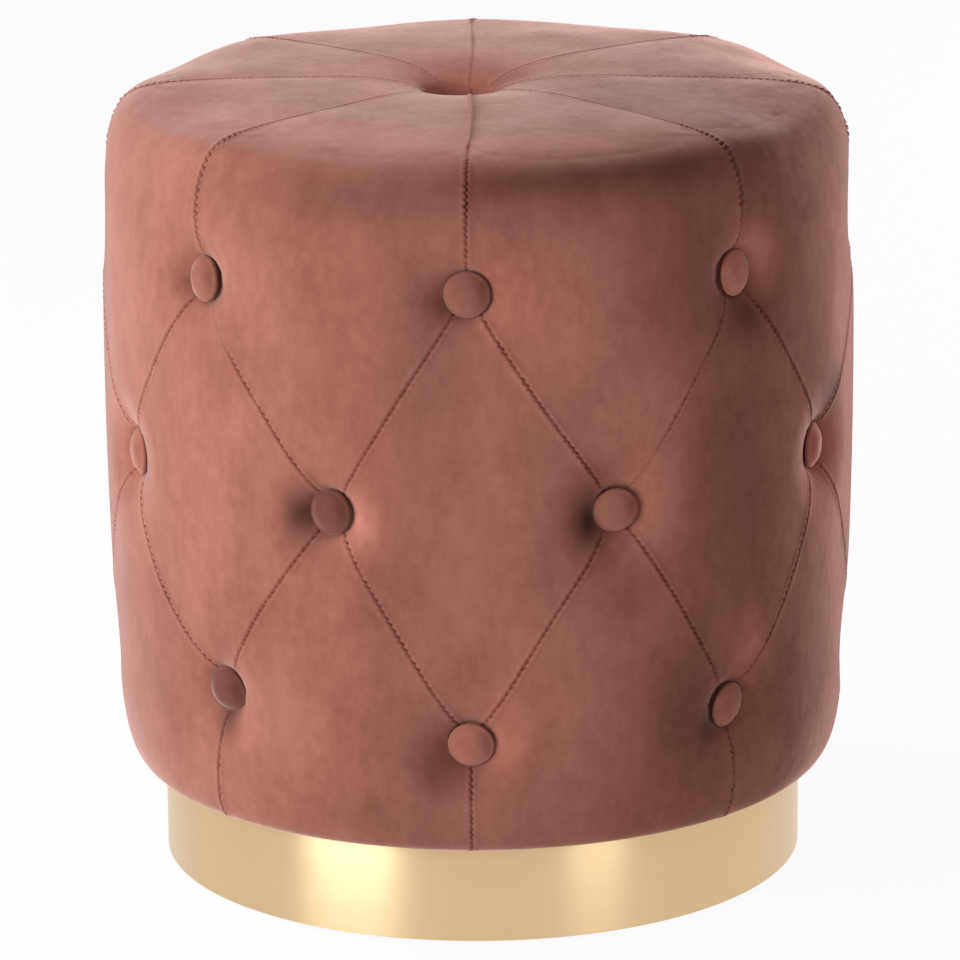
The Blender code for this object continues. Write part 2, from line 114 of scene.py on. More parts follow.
def turned_outline():
    """Radius and height of the cover's outline, from the axis to the turned-under hem."""
    top = np.array(TOP_PROFILE + RIM_PROFILE) * MM
    skirt_top = HEM_HEIGHT + SKIRT_CURVE
    height = np.linspace(SIDE_START, skirt_top, 300)
    share = (SIDE_TOP - height) / (SIDE_TOP - skirt_top)
    bulge = RADIUS_MIDDLE - 0.5 * (RADIUS_TOP + RADIUS_BOTTOM)
    radius = RADIUS_TOP + share * (RADIUS_BOTTOM - RADIUS_TOP) + 4 * share * (1 - share) * bulge
    side = np.stack([radius, height], 1)
    quarter = np.linspace(0.0, math.pi / 2, 300)
    radius = HEM_RADIUS + (RADIUS_BOTTOM - HEM_RADIUS) * np.cos(quarter)
    skirt = np.stack([radius, skirt_top - SKIRT_CURVE * np.sin(quarter)], 1)
    return np.concatenate([top, side, skirt[1:]])


def run_over(places):
    """Distance over the cloth to each of the places in an outline."""
    return np.concatenate([[0.0], np.cumsum(np.hypot(*np.diff(places, axis=0).T))])


# %% Easing the outline
# Foam can't follow a sharp change of bend, so the corners between the measured places are eased.
EASE, EASE_STEP = 0.0040, 0.0004
EASED_WITHIN = 0.03, 0.05
rough = turned_outline()
even_run = np.arange(0.0, run_over(rough)[-1], EASE_STEP)
even = np.stack([np.interp(even_run, run_over(rough), column) for column in rough.T], 1)
bell = np.exp(-0.5 * (np.arange(-3 * EASE, 3.2 * EASE, EASE_STEP) / EASE) ** 2)
eased = np.stack([np.convolve(column, bell / bell.sum(), "same") for column in even.T], 1)
inside = ramp(even_run, *EASED_WITHIN) * ramp(even_run[-1] - even_run, *EASED_WITHIN)
OUTLINE = np.concatenate([even + inside[:, None] * (eased - even), rough[-1:], [[HEM_TURN_IN, HEM_HEIGHT]]])
RUN = run_over(OUTLINE)
HEM_RUN, END_RUN = RUN[-2], RUN[-1]
SLOPE_STEP = 0.7 * MM


def radius_at(run):
    return np.interp(run, RUN, OUTLINE[:, 0])


def height_at(run):
    return np.interp(run, RUN, OUTLINE[:, 1])


def run_at_height(height):
    below_rim = (RUN > RIM_RUN) & (RUN < HEM_RUN)
    return float(np.interp(-height, -OUTLINE[below_rim, 1], RUN[below_rim]))


def outward_at(run):
    """Outward direction of the outline, as a radial and a vertical share."""
    low = np.clip(run - SLOPE_STEP, 0.0, END_RUN - 2 * SLOPE_STEP)
    high = low + 2 * SLOPE_STEP
    along_radius, along_height = radius_at(high) - radius_at(low), height_at(high) - height_at(low)
    length = np.hypot(along_radius, along_height)
    return -along_height / length, along_radius / length


print("cloth from middle to hem:", round(HEM_RUN, 3), "m")

# %% [markdown]
# ## The sewing pattern
# Eight gores cover the top and end in points on the side. Eight diamonds and eight skirt panels fill in below
# them. Every corner of the pattern is a button, and each seam ends at one. Tufts are tied by hand, so each one
# sits a few millimetres off its even place, and takes the cloth around it along.

# %% Tufts and seams
COUNT = 8
SEAM_ANGLE = 2 * math.pi / COUNT
TOP_ROW, ROW_SPACING = 0.331, 0.109
TOP_RUN, MIDDLE_RUN, BOTTOM_RUN = (run_at_height(TOP_ROW - n * ROW_SPACING) for n in range(3))
ROWS = (("top", TOP_RUN, 0.0), ("middle", MIDDLE_RUN, 0.5), ("bottom", BOTTOM_RUN, 0.0))
TUFTS = [(row, n, (n + half) * SEAM_ANGLE, run) for row, run, half in ROWS for n in range(COUNT)]
# How far a tuft sits to the right of its even place and above it, in millimetres.
DRIFT = {
    ("top", 0): (0, 2),
    ("top", 1): (-1, -1),
    ("top", 7): (-1, -4),
    ("middle", 0): (1, 1),
    ("middle", 1): (-3, 6),
    ("middle", 6): (3, 3),
    ("middle", 7): (3, 0),
    ("bottom", 0): (0, -5),
    ("bottom", 1): (-3, -1),
    ("bottom", 7): (8, 8),
}
DRIFT_REACH, LEAST_RADIUS = 0.080, 0.01
BACK_SEAM_TURN, BACK_SEAM_RUN, BACK_SEAM_REACH, BACK_SEAM_DRIFT = math.pi, 0.155, 0.150, 6.5 * MM
CRATER_DRIFT, CRATER_REACH, CRATER_ASIDE = 3.5 * MM, 0.090, 5.0 * MM


def wrapped(angle):
    """An angle brought between half a turn back and half a turn on."""
    return (angle + math.pi) % (2 * math.pi) - math.pi


def fading(away, reach, power=2):
    """1 at no distance, falling smoothly to 0 at the reach."""
    return (1 - np.minimum(away / reach, 1.0) ** 2) ** power


def away_from(place_turn, place_run, turn, run, radius):
    """Distance over the cloth from one place on the cover."""
    return np.hypot(wrapped(turn - place_turn) * radius, run - place_run)


def drifted(turn, run):
    """A place on the cover, moved along with the hand-tied tufts near it."""
    radius = radius_at(run)
    girth = np.maximum(radius, LEAST_RADIUS)
    new_turn, new_run = turn.copy(), run.copy()
    for row, number, *place in TUFTS:
        if (row, number) in DRIFT:
            share = fading(away_from(*place, turn, run, radius), DRIFT_REACH)
            sideways, upward = DRIFT[(row, number)]
            new_turn += share * sideways * MM / girth
            new_run -= share * upward * MM
    share = fading(away_from(BACK_SEAM_TURN, BACK_SEAM_RUN, turn, run, radius), BACK_SEAM_REACH)
    return new_turn + share * BACK_SEAM_DRIFT / girth, new_run


print("tufts:", len(TUFTS), "rows at run", [round(run, 3) for _, run, _ in ROWS])

# %% [markdown]
# The cloth needs to know, at every point, how far the nearest seam is, how far along that seam it lies, and on
# which side. In one folded gore the seams are four straight lines, so the nearest is found by measuring to each.
# Every stitch gets a chance number of its own too, because no sewing machine pulls all stitches alike.

# %% Nearest seam
HALF_GORE = 0.5 * SEAM_ANGLE * RADIUS_MIDDLE
SEAM_CORNERS = [(0.0, 0.0), (0.0, TOP_RUN), (HALF_GORE, MIDDLE_RUN), (0.0, BOTTOM_RUN), (0.0, END_RUN)]
STITCH = 3.5 * MM


def chance(*numbers):
    """An even chance number from 0 to 1 for each set of whole numbers, the same in every run."""
    mixed = sum(weight * number for weight, number in zip((12.9898, 78.233, 37.719), numbers))
    return (np.sin(mixed) * 43758.5453) % 1.0


def nearest_seam(turn, run):
    """Distance to the nearest seam, distance along it, side of it, slant and chance numbers of its stitches."""
    fold = np.floor(turn / SEAM_ANGLE + 0.5)
    folded = turn - fold * SEAM_ANGLE
    mirror = np.where(folded < 0, -1.0, 1.0)
    x = np.abs(folded) * radius_at(run)
    best, along, side, part = np.full(x.shape, 9.0), np.zeros(x.shape), np.zeros(x.shape), np.zeros(x.shape)
    start_along = 0.0
    for number, ((ax, ay), (bx, by)) in enumerate(zip(SEAM_CORNERS, SEAM_CORNERS[1:])):
        length = math.hypot(bx - ax, by - ay)
        ux, uy = (bx - ax) / length, (by - ay) / length
        reach = np.clip((x - ax) * ux + (run - ay) * uy, 0.0, length)
        dx, dy = x - ax - reach * ux, run - ay - reach * uy
        distance = np.hypot(dx, dy)
        closer = distance < best
        best = np.where(closer, distance, best)
        along = np.where(closer, start_along + reach, along)
        side = np.where(closer, np.sign(dx * uy - dy * ux) * mirror, side)
        part = np.where(closer, number, part)
        start_along += length
    oblique = (part == 1) | (part == 2)
    seam_id = part + 5 * (fold % COUNT) + np.where(oblique, 50 * mirror, 0)
    slant = np.where(oblique, np.where(part == 1, mirror, -mirror), 1.0)
    place = along / STITCH
    first = np.floor(place)
    share = ramp(place, first, first + 1)
    luck = chance(first, seam_id) * (1 - share) + chance(first + 1, seam_id) * share
    return best, along, side, slant, luck


print("a seam's first stitches:", np.round(nearest_seam(np.zeros(4), RIM_RUN + STITCH * np.arange(4))[4], 2))

# %% [markdown]
# ## How far the cloth is pulled in
# Each button is tied down with twine, so the cloth dives steeply at its edge and evens out over a few
# centimetres. The middle of the top is pulled down into a wide funnel. The seams are shorter than the cloth
# between them, which leaves a shallow valley along every one.

# %% Depth of the tufts, the crater and the seams
TUFT_DEPTH, TUFT_EDGE = 11.5 * MM, 10.9 * MM
STEEP_SHARE, STEEP_SPREAD, GENTLE_REACH = 0.68, 4.6 * MM, 30.0 * MM
CRATER_DEPTH, CRATER_SEAT = 30.0 * MM, 12.8 * MM
LIP_DEPTH, LIP_SPREAD, WALL_SPREAD = 11.0 * MM, 16.0 * MM, 1.8 * MM
VALLEY_DEPTH, VALLEY_SPREAD, VALLEY_ON_TOP = 2.2 * MM, 14.0 * MM, 0.5
VALLEY_STARTS = 0.3 * RIM_RUN, 0.6 * RIM_RUN
RIM_FLATTENING, FLATTER_AT_SIDES, FLATTENED_FROM, FLATTENED_RUN = 2.1 * MM, 2.0 * MM, 0.100, 0.178
BACK_DROP, BACK_DROP_FROM, BACK_DROP_FULL, BACK_DROP_END = 3.5 * MM, 0.060, 0.165, 0.170
SILL_BELOW_BUTTONS = 0.028
SILL_RUN = run_at_height(TOP_ROW - 2 * ROW_SPACING - SILL_BELOW_BUTTONS)


def tuft_pull(turn, run):
    """0 away from the buttons to 1 under them."""
    radius = radius_at(run)
    pull = np.zeros(turn.shape)
    for _, _, *place in TUFTS:
        beyond = np.maximum(away_from(*place, turn, run, radius) - TUFT_EDGE, 0.0)
        pull += STEEP_SHARE * np.exp(-beyond / STEEP_SPREAD) + (1 - STEEP_SHARE) * fading(beyond, GENTLE_REACH, 3)
    return np.minimum(pull, 1.0)


def valley_at(run, pull):
    """Depth of the valleys along the seams, at a run and a pull of the buttons."""
    on_top = VALLEY_ON_TOP * ramp(run, *VALLEY_STARTS)
    on_side = (1 - VALLEY_ON_TOP) * ramp(run, RIM_RUN, TOP_RUN)
    return VALLEY_DEPTH * (on_top + on_side) * (1 - ramp(run, SILL_RUN, HEM_RUN)) * (1 - pull)


def beyond_crater(turn, run):
    """Distance from the seat of the button in the crater, in the plan of the top."""
    radius = radius_at(run)
    from_middle = np.hypot(radius * np.sin(turn) + CRATER_ASIDE, radius * np.cos(turn))
    return np.where(run < RIM_RUN, np.maximum(from_middle - CRATER_SEAT, 0.0), 1.0)


def sewn_depth(turn, run):
    """Depth of the cloth before it fills: the crater, tufts and flattened rim, with a valley's depth all over."""
    beyond_seat = beyond_crater(turn, run)
    crater = LIP_DEPTH * np.exp(-beyond_seat / LIP_SPREAD)
    crater += (CRATER_DEPTH - LIP_DEPTH) * np.exp(-beyond_seat / WALL_SPREAD)
    pull = tuft_pull(turn, run)
    between = 0.5 * (1 - np.cos(COUNT * turn)) * (RIM_FLATTENING + FLATTER_AT_SIDES * np.sin(turn) ** 2)
    flattened = between * ramp(run, FLATTENED_FROM, FLATTENED_RUN) * (1 - ramp(run, FLATTENED_RUN, TOP_RUN))
    at_back = (0.5 * (1 - np.cos(turn))) ** 2
    at_back *= ramp(run, BACK_DROP_FROM, BACK_DROP_FULL) * (1 - ramp(run, BACK_DROP_END, TOP_RUN))
    return crater + TUFT_DEPTH * pull + flattened + BACK_DROP * at_back + valley_at(run, pull)


def laid_points(turn, run, depth):
    """Points at a depth under the outline, moved along with the hand-tied tufts."""
    moved_turn, moved_run = drifted(turn, run)
    radial, vertical = outward_at(moved_run)
    radius = radius_at(moved_run) - depth * radial
    height = height_at(moved_run) - depth * vertical
    aside = CRATER_DRIFT * fading(run, CRATER_REACH)
    return np.stack([radius * np.sin(moved_turn) - aside, -radius * np.cos(moved_turn), height], -1)


def outward_points(turn, run):
    """Outward directions of the outline at places on the cover."""
    moved_turn, moved_run = drifted(turn, run)
    radial, vertical = outward_at(moved_run)
    return np.stack([radial * np.sin(moved_turn), -radial * np.cos(moved_turn), vertical], -1)


print("steepest slope beside a button:", round(TUFT_DEPTH * (STEEP_SHARE / STEEP_SPREAD), 2))

# %% [markdown]
# Along the stitch line there is a narrow groove. Each stitch lies a little slanted across it and gathers the
# velvet, so the groove runs in short oblique strokes. Over the bend of the rim the seam is held tight on the
# inside, and there the gathers grow into small puckers. On the top, where nothing pulls, it is nearly flat, and
# the front seam rolls up into a small ridge.

# %% Seam groove and stitches
GROOVE_DEPTH, GROOVE_HALF_WIDTH, GROOVE_WANDER = 0.42 * MM, 0.60 * MM, 0.68 * MM
LIP_RISE, LIP_PLACE, LIP_WIDTH = 0.30 * MM, 1.7 * MM, 0.9 * MM
GATHER_RISE, GATHER_REACH, GATHER_PHASE, PUCKER = 0.55 * MM, 1.4 * MM, 0.9, 1.2
FLAT_ON_TOP, GROOVE_ON_TOP = 0.45, 0.2
RIDGE_RISE, RIDGE_HALF_WIDTH, RIDGE_TURN = 0.9 * MM, 0.8 * MM, 0.25
STROKE_HALF_WIDTH = 1.15 * GROOVE_HALF_WIDTH
GROOVE_BETWEEN, STROKE_BETWEEN = 0.30, 0.12
QUIETED = 0.8
# The least and the rest of a stitch's groove, gather and shade, which its chance number gives.
GROOVE_LUCK, GATHER_LUCK, SHADE_LUCK = (0.6, 0.8), (0.35, 1.1), (0.7, 0.6)
# Runs between which the seams bend over the rim, leave the bend, leave the top, and lose the front ridge.
BENDS, BEND_ENDS = (0.8 * RIM_RUN, RIM_RUN), (RIM_RUN + 0.04, RIM_RUN + 0.06)
TOP_ENDS, RIDGE_ENDS = (0.75 * RIM_RUN, 1.05 * RIM_RUN), (0.8 * RIM_RUN, 0.95 * RIM_RUN)
# Where a seam lies flat and its stitches hide: degrees round, mm along, reach each way.
QUIET_SEAMS = (
    (-41, 262, 4.5, 20),
    (45, 105, 10, 48),
    (28, 330, 5, 24),
    (40, 292, 4, 16),
    (180, 125, 12, 42),
    (0, 157, 6, 9),
)


def patch_share(turn, run, middle, place, round_reach, along_reach):
    """1 at the middle of a soft patch, falling to 0 over its reach each way."""
    off_turn = wrapped(turn - math.radians(middle)) / math.radians(round_reach)
    off_run = (run - place * MM) / (along_reach * MM)
    return np.exp(-(off_turn**2) - off_run**2)


def by_luck(luck, least, rest):
    """A measure of a stitch, from its chance number."""
    return least + rest * luck


def seam_relief(turn, run, distance, along, side, slant, luck):
    """Depth of a seam's groove, lips and gathers, and how much its stitches darken the cloth, from 0 to 1."""
    across = 2 * (along / STITCH % 1.0) - 1
    off_line = np.abs(distance * side - GROOVE_WANDER * across * slant * (0.5 + luck))
    stroke = (1.0 - across**2) ** 2
    groove = by_luck(luck, *GROOVE_LUCK) * (GROOVE_BETWEEN + (1 - GROOVE_BETWEEN) * stroke)
    groove *= np.exp(-((off_line / GROOVE_HALF_WIDTH) ** 1.5))
    lips = LIP_RISE * np.exp(-(((distance - LIP_PLACE) / LIP_WIDTH) ** 2))
    bend = 1 + PUCKER * ramp(run, *BENDS) * (1 - ramp(run, *BEND_ENDS))
    small, shallow = (share + (1 - share) * ramp(run, *TOP_ENDS) for share in (FLAT_ON_TOP, GROOVE_ON_TOP))
    wave = np.cos(2 * math.pi * along / STITCH + GATHER_PHASE * side)
    gathers = GATHER_RISE * bend * by_luck(luck, *GATHER_LUCK) * wave * np.exp(-((distance / GATHER_REACH) ** 2))
    shade = by_luck(luck, *SHADE_LUCK) * (STROKE_BETWEEN + (1 - STROKE_BETWEEN) * stroke)
    shade *= np.exp(-((off_line / STROKE_HALF_WIDTH) ** 2))
    depth = shallow * GROOVE_DEPTH * groove + small * (gathers - lips)
    ridge = np.exp(-((wrapped(turn) / RIDGE_TURN) ** 2)) * (1 - ramp(run, *RIDGE_ENDS))
    rolled = -RIDGE_RISE * np.exp(-((distance / RIDGE_HALF_WIDTH) ** 2))
    loud = 1 - QUIETED * np.clip(sum(patch_share(turn, run, *quiet) for quiet in QUIET_SEAMS), 0.0, 1.0)
    return loud * (depth + ridge * (rolled - depth)), np.clip(loud * small * shade * (1 - ridge), 0.0, 1.0)


# %% [markdown]
# ## Laying out the panels
# Each panel is a grid of rows and columns whose outer columns follow its seams. The rows are a quarter of a
# stitch apart, so that every gather is real shape. Columns crowd together beside the seams, where the groove
# is, and spread out in the smooth middle. A last column at each seam turns down, as a seam allowance does.

# %% Columns and rows
NEAR_SEAM = np.array([0.0, 0.25, 0.5, 0.8, 1.2, 1.7, 2.4, 3.4, 4.8, 6.8, 9.5]) * MM
ALLOWANCE = 1.3 * MM
ROW_STEP = STITCH / 4
GORE_START = 0.4 * MM
LEAST_HALF_ANGLE, LEAST_GAP, LEAST_GIRTH = 0.00004, 0.0012, 2 * MM
MIDDLE_COLUMNS, MIDDLE_SPREAD = 14, 2.2


def columns_across(width):
    """Distances from the left seam, from 0 to width, crowded at both seams."""
    half = 0.5 * width
    inner = np.linspace(NEAR_SEAM[-1], max(half, MIDDLE_SPREAD * NEAR_SEAM[-1]), MIDDLE_COLUMNS + 1)[1:]
    left = np.concatenate([NEAR_SEAM, inner])
    left *= half / left[-1]
    return np.concatenate([left, width - left[-2::-1]])


def half_width(run):
    """Half of a gore's or skirt's width at a run, as an angle: whole beside its body, none at its point."""
    toward_point = np.where(run < MIDDLE_RUN, run - TOP_RUN, BOTTOM_RUN - run)
    reach = np.where(run < MIDDLE_RUN, MIDDLE_RUN - TOP_RUN, BOTTOM_RUN - MIDDLE_RUN)
    return np.maximum(0.5 * SEAM_ANGLE * (1 - np.clip(toward_point / reach, 0.0, 1.0)), LEAST_HALF_ANGLE)


def pointed_place(centre_turn, share, run):
    """Turns of places in a panel between two seams that meet in a point, with its runs."""
    return centre_turn + (2 * share - 1) * half_width(run), run


def diamond_place(centre_turn, right, left):
    """Turns and runs of places in a panel between four seams, from shares along two of them."""
    down = right + left
    upper, lower = MIDDLE_RUN - TOP_RUN, BOTTOM_RUN - MIDDLE_RUN
    runs = TOP_RUN + upper * np.minimum(down, 1.0) + lower * np.maximum(down - 1.0, 0.0)
    return centre_turn + 0.5 * SEAM_ANGLE * (right - left), runs


def fine_pointed(runs):
    """Shares across and runs of a pointed panel's fine grid."""
    widths = 2 * half_width(runs) * np.maximum(radius_at(runs), LEAST_GIRTH)
    shares = np.array([columns_across(width) / width for width in widths])
    return shares, np.repeat(runs[:, None], shares.shape[1], 1)


def fine_diamond():
    """Shares along two seams of a diamond's fine grid."""
    length = math.hypot(HALF_GORE, ROW_SPACING)
    count = round(length / ROW_STEP)
    even = np.arange(1, count) / count
    near = NEAR_SEAM[1:5] / length
    share = np.unique(np.round(np.concatenate([[0.0, 1.0], near, 1 - near, even]), 6))
    share = share[np.concatenate([[True], np.diff(share) > LEAST_GAP])]
    return np.meshgrid(share, share)


IN_CRATER = np.arange(1.5, 24.0, 0.45) * MM
PAST_CRATER = np.arange(24.4 * MM, MIDDLE_RUN, ROW_STEP)
GORE_RUNS = np.concatenate([[GORE_START], IN_CRATER, PAST_CRATER, [MIDDLE_RUN]])
SKIRT_RUNS = np.concatenate([np.arange(MIDDLE_RUN, HEM_RUN, ROW_STEP), np.linspace(HEM_RUN, END_RUN, 9)])
print("rows of a gore:", len(GORE_RUNS), "and of a skirt:", len(SKIRT_RUNS))

# %% [markdown]
# ## Filling the cover
# Foam presses the velvet out between its seams. Blender's cloth simulation does the same here: every panel
# starts as a coarse sheet at the depth of its seams, is held along them, at the buttons and at the hem, and is
# blown up by an even pressure. What it gains in height is kept as a small chart for each panel. The chart is
# capped at the valley's depth, and the fine panels read it.

# %% Coarse panels
COARSE = {"gore": (56, 21), "diamond": (22, 22), "skirt": (32, 21)}
SPANS = {"gore": (GORE_START, MIDDLE_RUN), "diamond": (0.0, 1.0), "skirt": (MIDDLE_RUN, HEM_RUN)}


def coarse_panel(kind):
    """Two grids of places that cover a panel evenly."""
    rows, columns = COARSE[kind]
    return np.meshgrid(np.linspace(0.0, 1.0, columns), np.linspace(*SPANS[kind], rows))


KINDS = (("gore", 0.5), ("diamond", 0.0), ("skirt", 0.5))
PANELS = [(kind, number, (number + half) * SEAM_ANGLE) for number in range(COUNT) for kind, half in KINDS]


def place_in(kind, centre_turn, first, second):
    """Turns and runs for the two coordinates of a panel."""
    if kind == "diamond":
        return diamond_place(centre_turn, first, second)
    return pointed_place(centre_turn, first, second)


def grid_faces(rows, columns, start=0):
    """Corners of the faces of a grid of points, numbered from start, with their fronts outward."""
    index = start + np.arange(rows * columns).reshape(rows, columns)
    return np.stack([index[:-1, :-1], index[1:, :-1], index[1:, 1:], index[:-1, 1:]], -1).reshape(-1, 4)


# %% Blowing up the coarse panels
PRESSURE, PRESSED_FRAMES, HELD_PULL = 4.0, 20, 0.75


def puffed_panels():
    """How far the pressed cloth rises over its seams: one chart for each panel."""
    points, outward, held, faces, sizes = [], [], [], [], []
    for kind, _, centre_turn in PANELS:
        first, second = coarse_panel(kind)
        turn, run = place_in(kind, centre_turn, first, second)
        turn, run = turn.ravel(), run.ravel()
        faces.append(grid_faces(*first.shape, start=sum(len(part) for part in points)))
        points.append(laid_points(turn, run, sewn_depth(turn, run)))
        outward.append(outward_points(turn, run))
        edge = np.zeros(first.shape)
        edge[[0, -1]], edge[:, [0, -1]] = 1.0, 1.0
        held.append(np.maximum(edge.ravel(), tuft_pull(turn, run) > HELD_PULL))
        sizes.append(first.shape)
    points, outward, held = np.concatenate(points), np.concatenate(outward), np.concatenate(held)
    mesh = new_mesh("pressed_cloth", points.tolist(), np.concatenate(faces).tolist())
    cloth = new_object("pressed_cloth", mesh)
    pins = cloth.vertex_groups.new(name="held")
    pins.add(np.flatnonzero(held).tolist(), 1.0, "REPLACE")
    settings = cloth.modifiers.new("press", "CLOTH").settings
    settings.quality = 5
    settings.use_pressure = True
    settings.uniform_pressure_force = PRESSURE
    settings.effector_weights.gravity = 0.0
    settings.vertex_group_mass = "held"
    for step in range(1, PRESSED_FRAMES + 1):
        bpy.context.scene.frame_set(step)
    pressed = cloth.evaluated_get(bpy.context.evaluated_depsgraph_get()).to_mesh()
    moved = np.empty(3 * len(points))
    pressed.vertices.foreach_get("co", moved)
    rise = ((moved.reshape(-1, 3) - points) * outward).sum(1)
    bpy.context.scene.frame_set(1)
    bpy.data.objects.remove(cloth)
    bpy.data.meshes.remove(mesh)
    ends = np.cumsum([rows * columns for rows, columns in sizes])
    return [part.reshape(size) for part, size in zip(np.split(rise, ends[:-1]), sizes)]


rises = puffed_panels()
if rises:
    print("the pressed cloth rises", round(max(float(chart.max()) for chart in rises) / MM, 1), "mm at most")

# %% [markdown]
# The charts are coarse, so a fine panel reads them along smooth curves. The same four weights, of the curve
# that passes through every point, serve for rows and columns.

# %% Reading a chart
FILL_SCALE = 0.9 * MM


def curve_weights(t):
    """Weights of the two points before a place and the two after it."""
    before = ((-0.5 * t + 1) * t - 0.5) * t, (1.5 * t - 2.5) * t * t + 1
    return *before, ((-1.5 * t + 2) * t + 0.5) * t, (0.5 * t - 0.5) * t * t


def read_chart(chart, row_place, column_place):
    """Values of a chart between its points."""
    rows, columns = chart.shape
    row = np.clip(np.floor(row_place).astype(int), 0, rows - 2)
    column = np.clip(np.floor(column_place).astype(int), 0, columns - 2)
    wide = np.pad(chart, 1, mode="edge")
    total = np.zeros(row.shape)
    for down, row_weight in enumerate(curve_weights(np.clip(row_place - row, 0.0, 1.0))):
        for right, column_weight in enumerate(curve_weights(np.clip(column_place - column, 0.0, 1.0))):
            total += row_weight * column_weight * wide[row + down, column + right]
    return total


def filled_share(number, kind, first, second, distance):
    """How full the cloth is between its seams: 0 at the depth of the seams to 1 on the outline."""
    if rises is None:
        return 1 - np.exp(-distance / VALLEY_SPREAD)
    low, high = SPANS[kind]
    rows, columns = rises[number].shape
    rise = read_chart(rises[number], (second - low) / (high - low) * (rows - 1), first * (columns - 1))
    return 1 - np.exp(-np.maximum(rise, 0.0) / FILL_SCALE)


# %% [markdown]
# Velvet looks darker or lighter by the way its nap runs, and the panels are cut as they fit on the roll, so each
# has a shade of its own. Soft patches make it lighter or darker still. They stand partly for pushed pile and partly
# for painted shade and painted light: painted shade under the rim, in hollows and on the right of the top, and
# painted light in the crater and on the front of the top. Both go into one number for each point of the mesh, and
# the material reads it. The patches were placed by comparing renders with the photograph, so much of the light of
# that room is painted into them.

# %% Shade of the nap, with painted shade and painted light
# Shade of some panels, partly from their nap and partly painted shade and painted light.
PANEL_NAP_AND_PAINTED_LIGHT = {
    ("gore", 2): 0.92,
    ("gore", 3): 0.85,
    ("gore", 4): 0.95,
    ("gore", 5): 1.10,
    ("skirt", 1): 1.05,
    ("diamond", 1): 1.05,
}
# Patches of pushed pile and of painted shade and painted light: degrees round the cover, mm along it from the
# crater's middle, reach each way, shade.
NAP_AND_PAINTED_LIGHT_PATCHES = (
    (8, 182, 10, 9, 0.72),
    (27, 176, 18, 13, 0.54),
    (-18, 189, 19, 16, 0.66),
    (-28, 140, 28, 26, 1.40),
    (16, 138, 16, 16, 1.16),
    (0, 38, 900, 30, 1.20),
    (-125, 20, 55, 16, 1.60),
    (112, 22, 20, 16, 0.70),
    (66, 95, 40, 50, 0.56),
    (56, 152, 12, 22, 0.62),
    (38, 183, 7, 12, 0.74),
    (-60, 450, 14, 60, 0.86),
    (58, 450, 10, 50, 0.82),
    (76, 295, 12, 110, 1.50),
    (71, 320, 4.5, 14, 0.26),
    (44, 345, 6, 60, 0.82),
    (48.5, 232, 5, 20, 1.90),
    (46.5, 258, 4, 12, 0.46),
    (14, 242, 11, 38, 1.44),
    (17, 300, 6, 36, 1.12),
    (17.3, 347, 3.4, 23, 0.60),
    (27, 318, 6.5, 50, 1.62),
    (-6, 276, 5.5, 34, 0.76),
    (-10, 385, 7, 80, 0.84),
    (5, 370, 5, 75, 1.14),
    (-26.3, 352, 3.6, 20, 0.72),
    (-19.5, 352, 3, 14, 1.15),
    (16, 436, 10, 38, 1.24),
    (47.5, 424, 5, 18, 1.65),
    (35, 452, 7, 28, 0.66),
    (-5, 472, 5, 16, 0.62),
    (-15, 500, 10, 14, 0.80),
)
# Painted shade in the hollow beside some buttons, on the side turned from the light and below one, and a painted
# highlight on the lit side of two: the button, degrees to its right, mm below it, shade.
BESIDE_REACH = (2.5, 10.0)
PAINTED_SHADE_AND_LIGHT_BESIDE_BUTTONS = (
    ("top", 0, -4.6, 5, 0.72),
    ("top", 7, -4.6, 5, 0.80),
    ("middle", 7, -4.9, 2, 0.42),
    ("middle", 7, 5.2, 2, 1.45),
    ("middle", 0, -4.6, 4, 0.25),
    ("bottom", 1, -4.8, 9, 0.40),
    ("bottom", 0, 5.2, 2, 1.25),
    ("bottom", 7, 0.5, 14, 0.45),
)
TUFT_PLACES = {(row, number): (math.degrees(turn), run / MM) for row, number, turn, run in TUFTS}
BESIDE = []
for row, number, right, down, tone in PAINTED_SHADE_AND_LIGHT_BESIDE_BUTTONS:
    middle, place = TUFT_PLACES[row, number]
    BESIDE.append((middle + right, place + down, *BESIDE_REACH, tone))


def panel_nap_and_painted_light(kind, number, turn, run):
    """How light a panel looks from its nap, painted shade and painted light, 1 for the plain velvet."""
    shade = np.full(turn.shape, PANEL_NAP_AND_PAINTED_LIGHT.get((kind, number), 1.0))
    for *patch, tone in (*NAP_AND_PAINTED_LIGHT_PATCHES, *BESIDE):
        shade *= 1.0 + (tone - 1.0) * patch_share(turn, run, *patch)
    return shade


print("panels with a shade of their own:", len(PANEL_NAP_AND_PAINTED_LIGHT), "patches:", len(NAP_AND_PAINTED_LIGHT_PATCHES) + len(BESIDE))

# %% [markdown]
# Now each fine panel is laid at its depth: sewn in, filled out by its chart and creased along its seams. Its
# edges turn down as a seam allowance does, so that no gap shows between two panels.

# %% Panel object
def note_points(mesh, label, values):
    """Keep a number for each point of a mesh, which a material can read."""
    mesh.attributes.new(label, "FLOAT", "POINT").data.foreach_set("value", values.astype(np.float32))


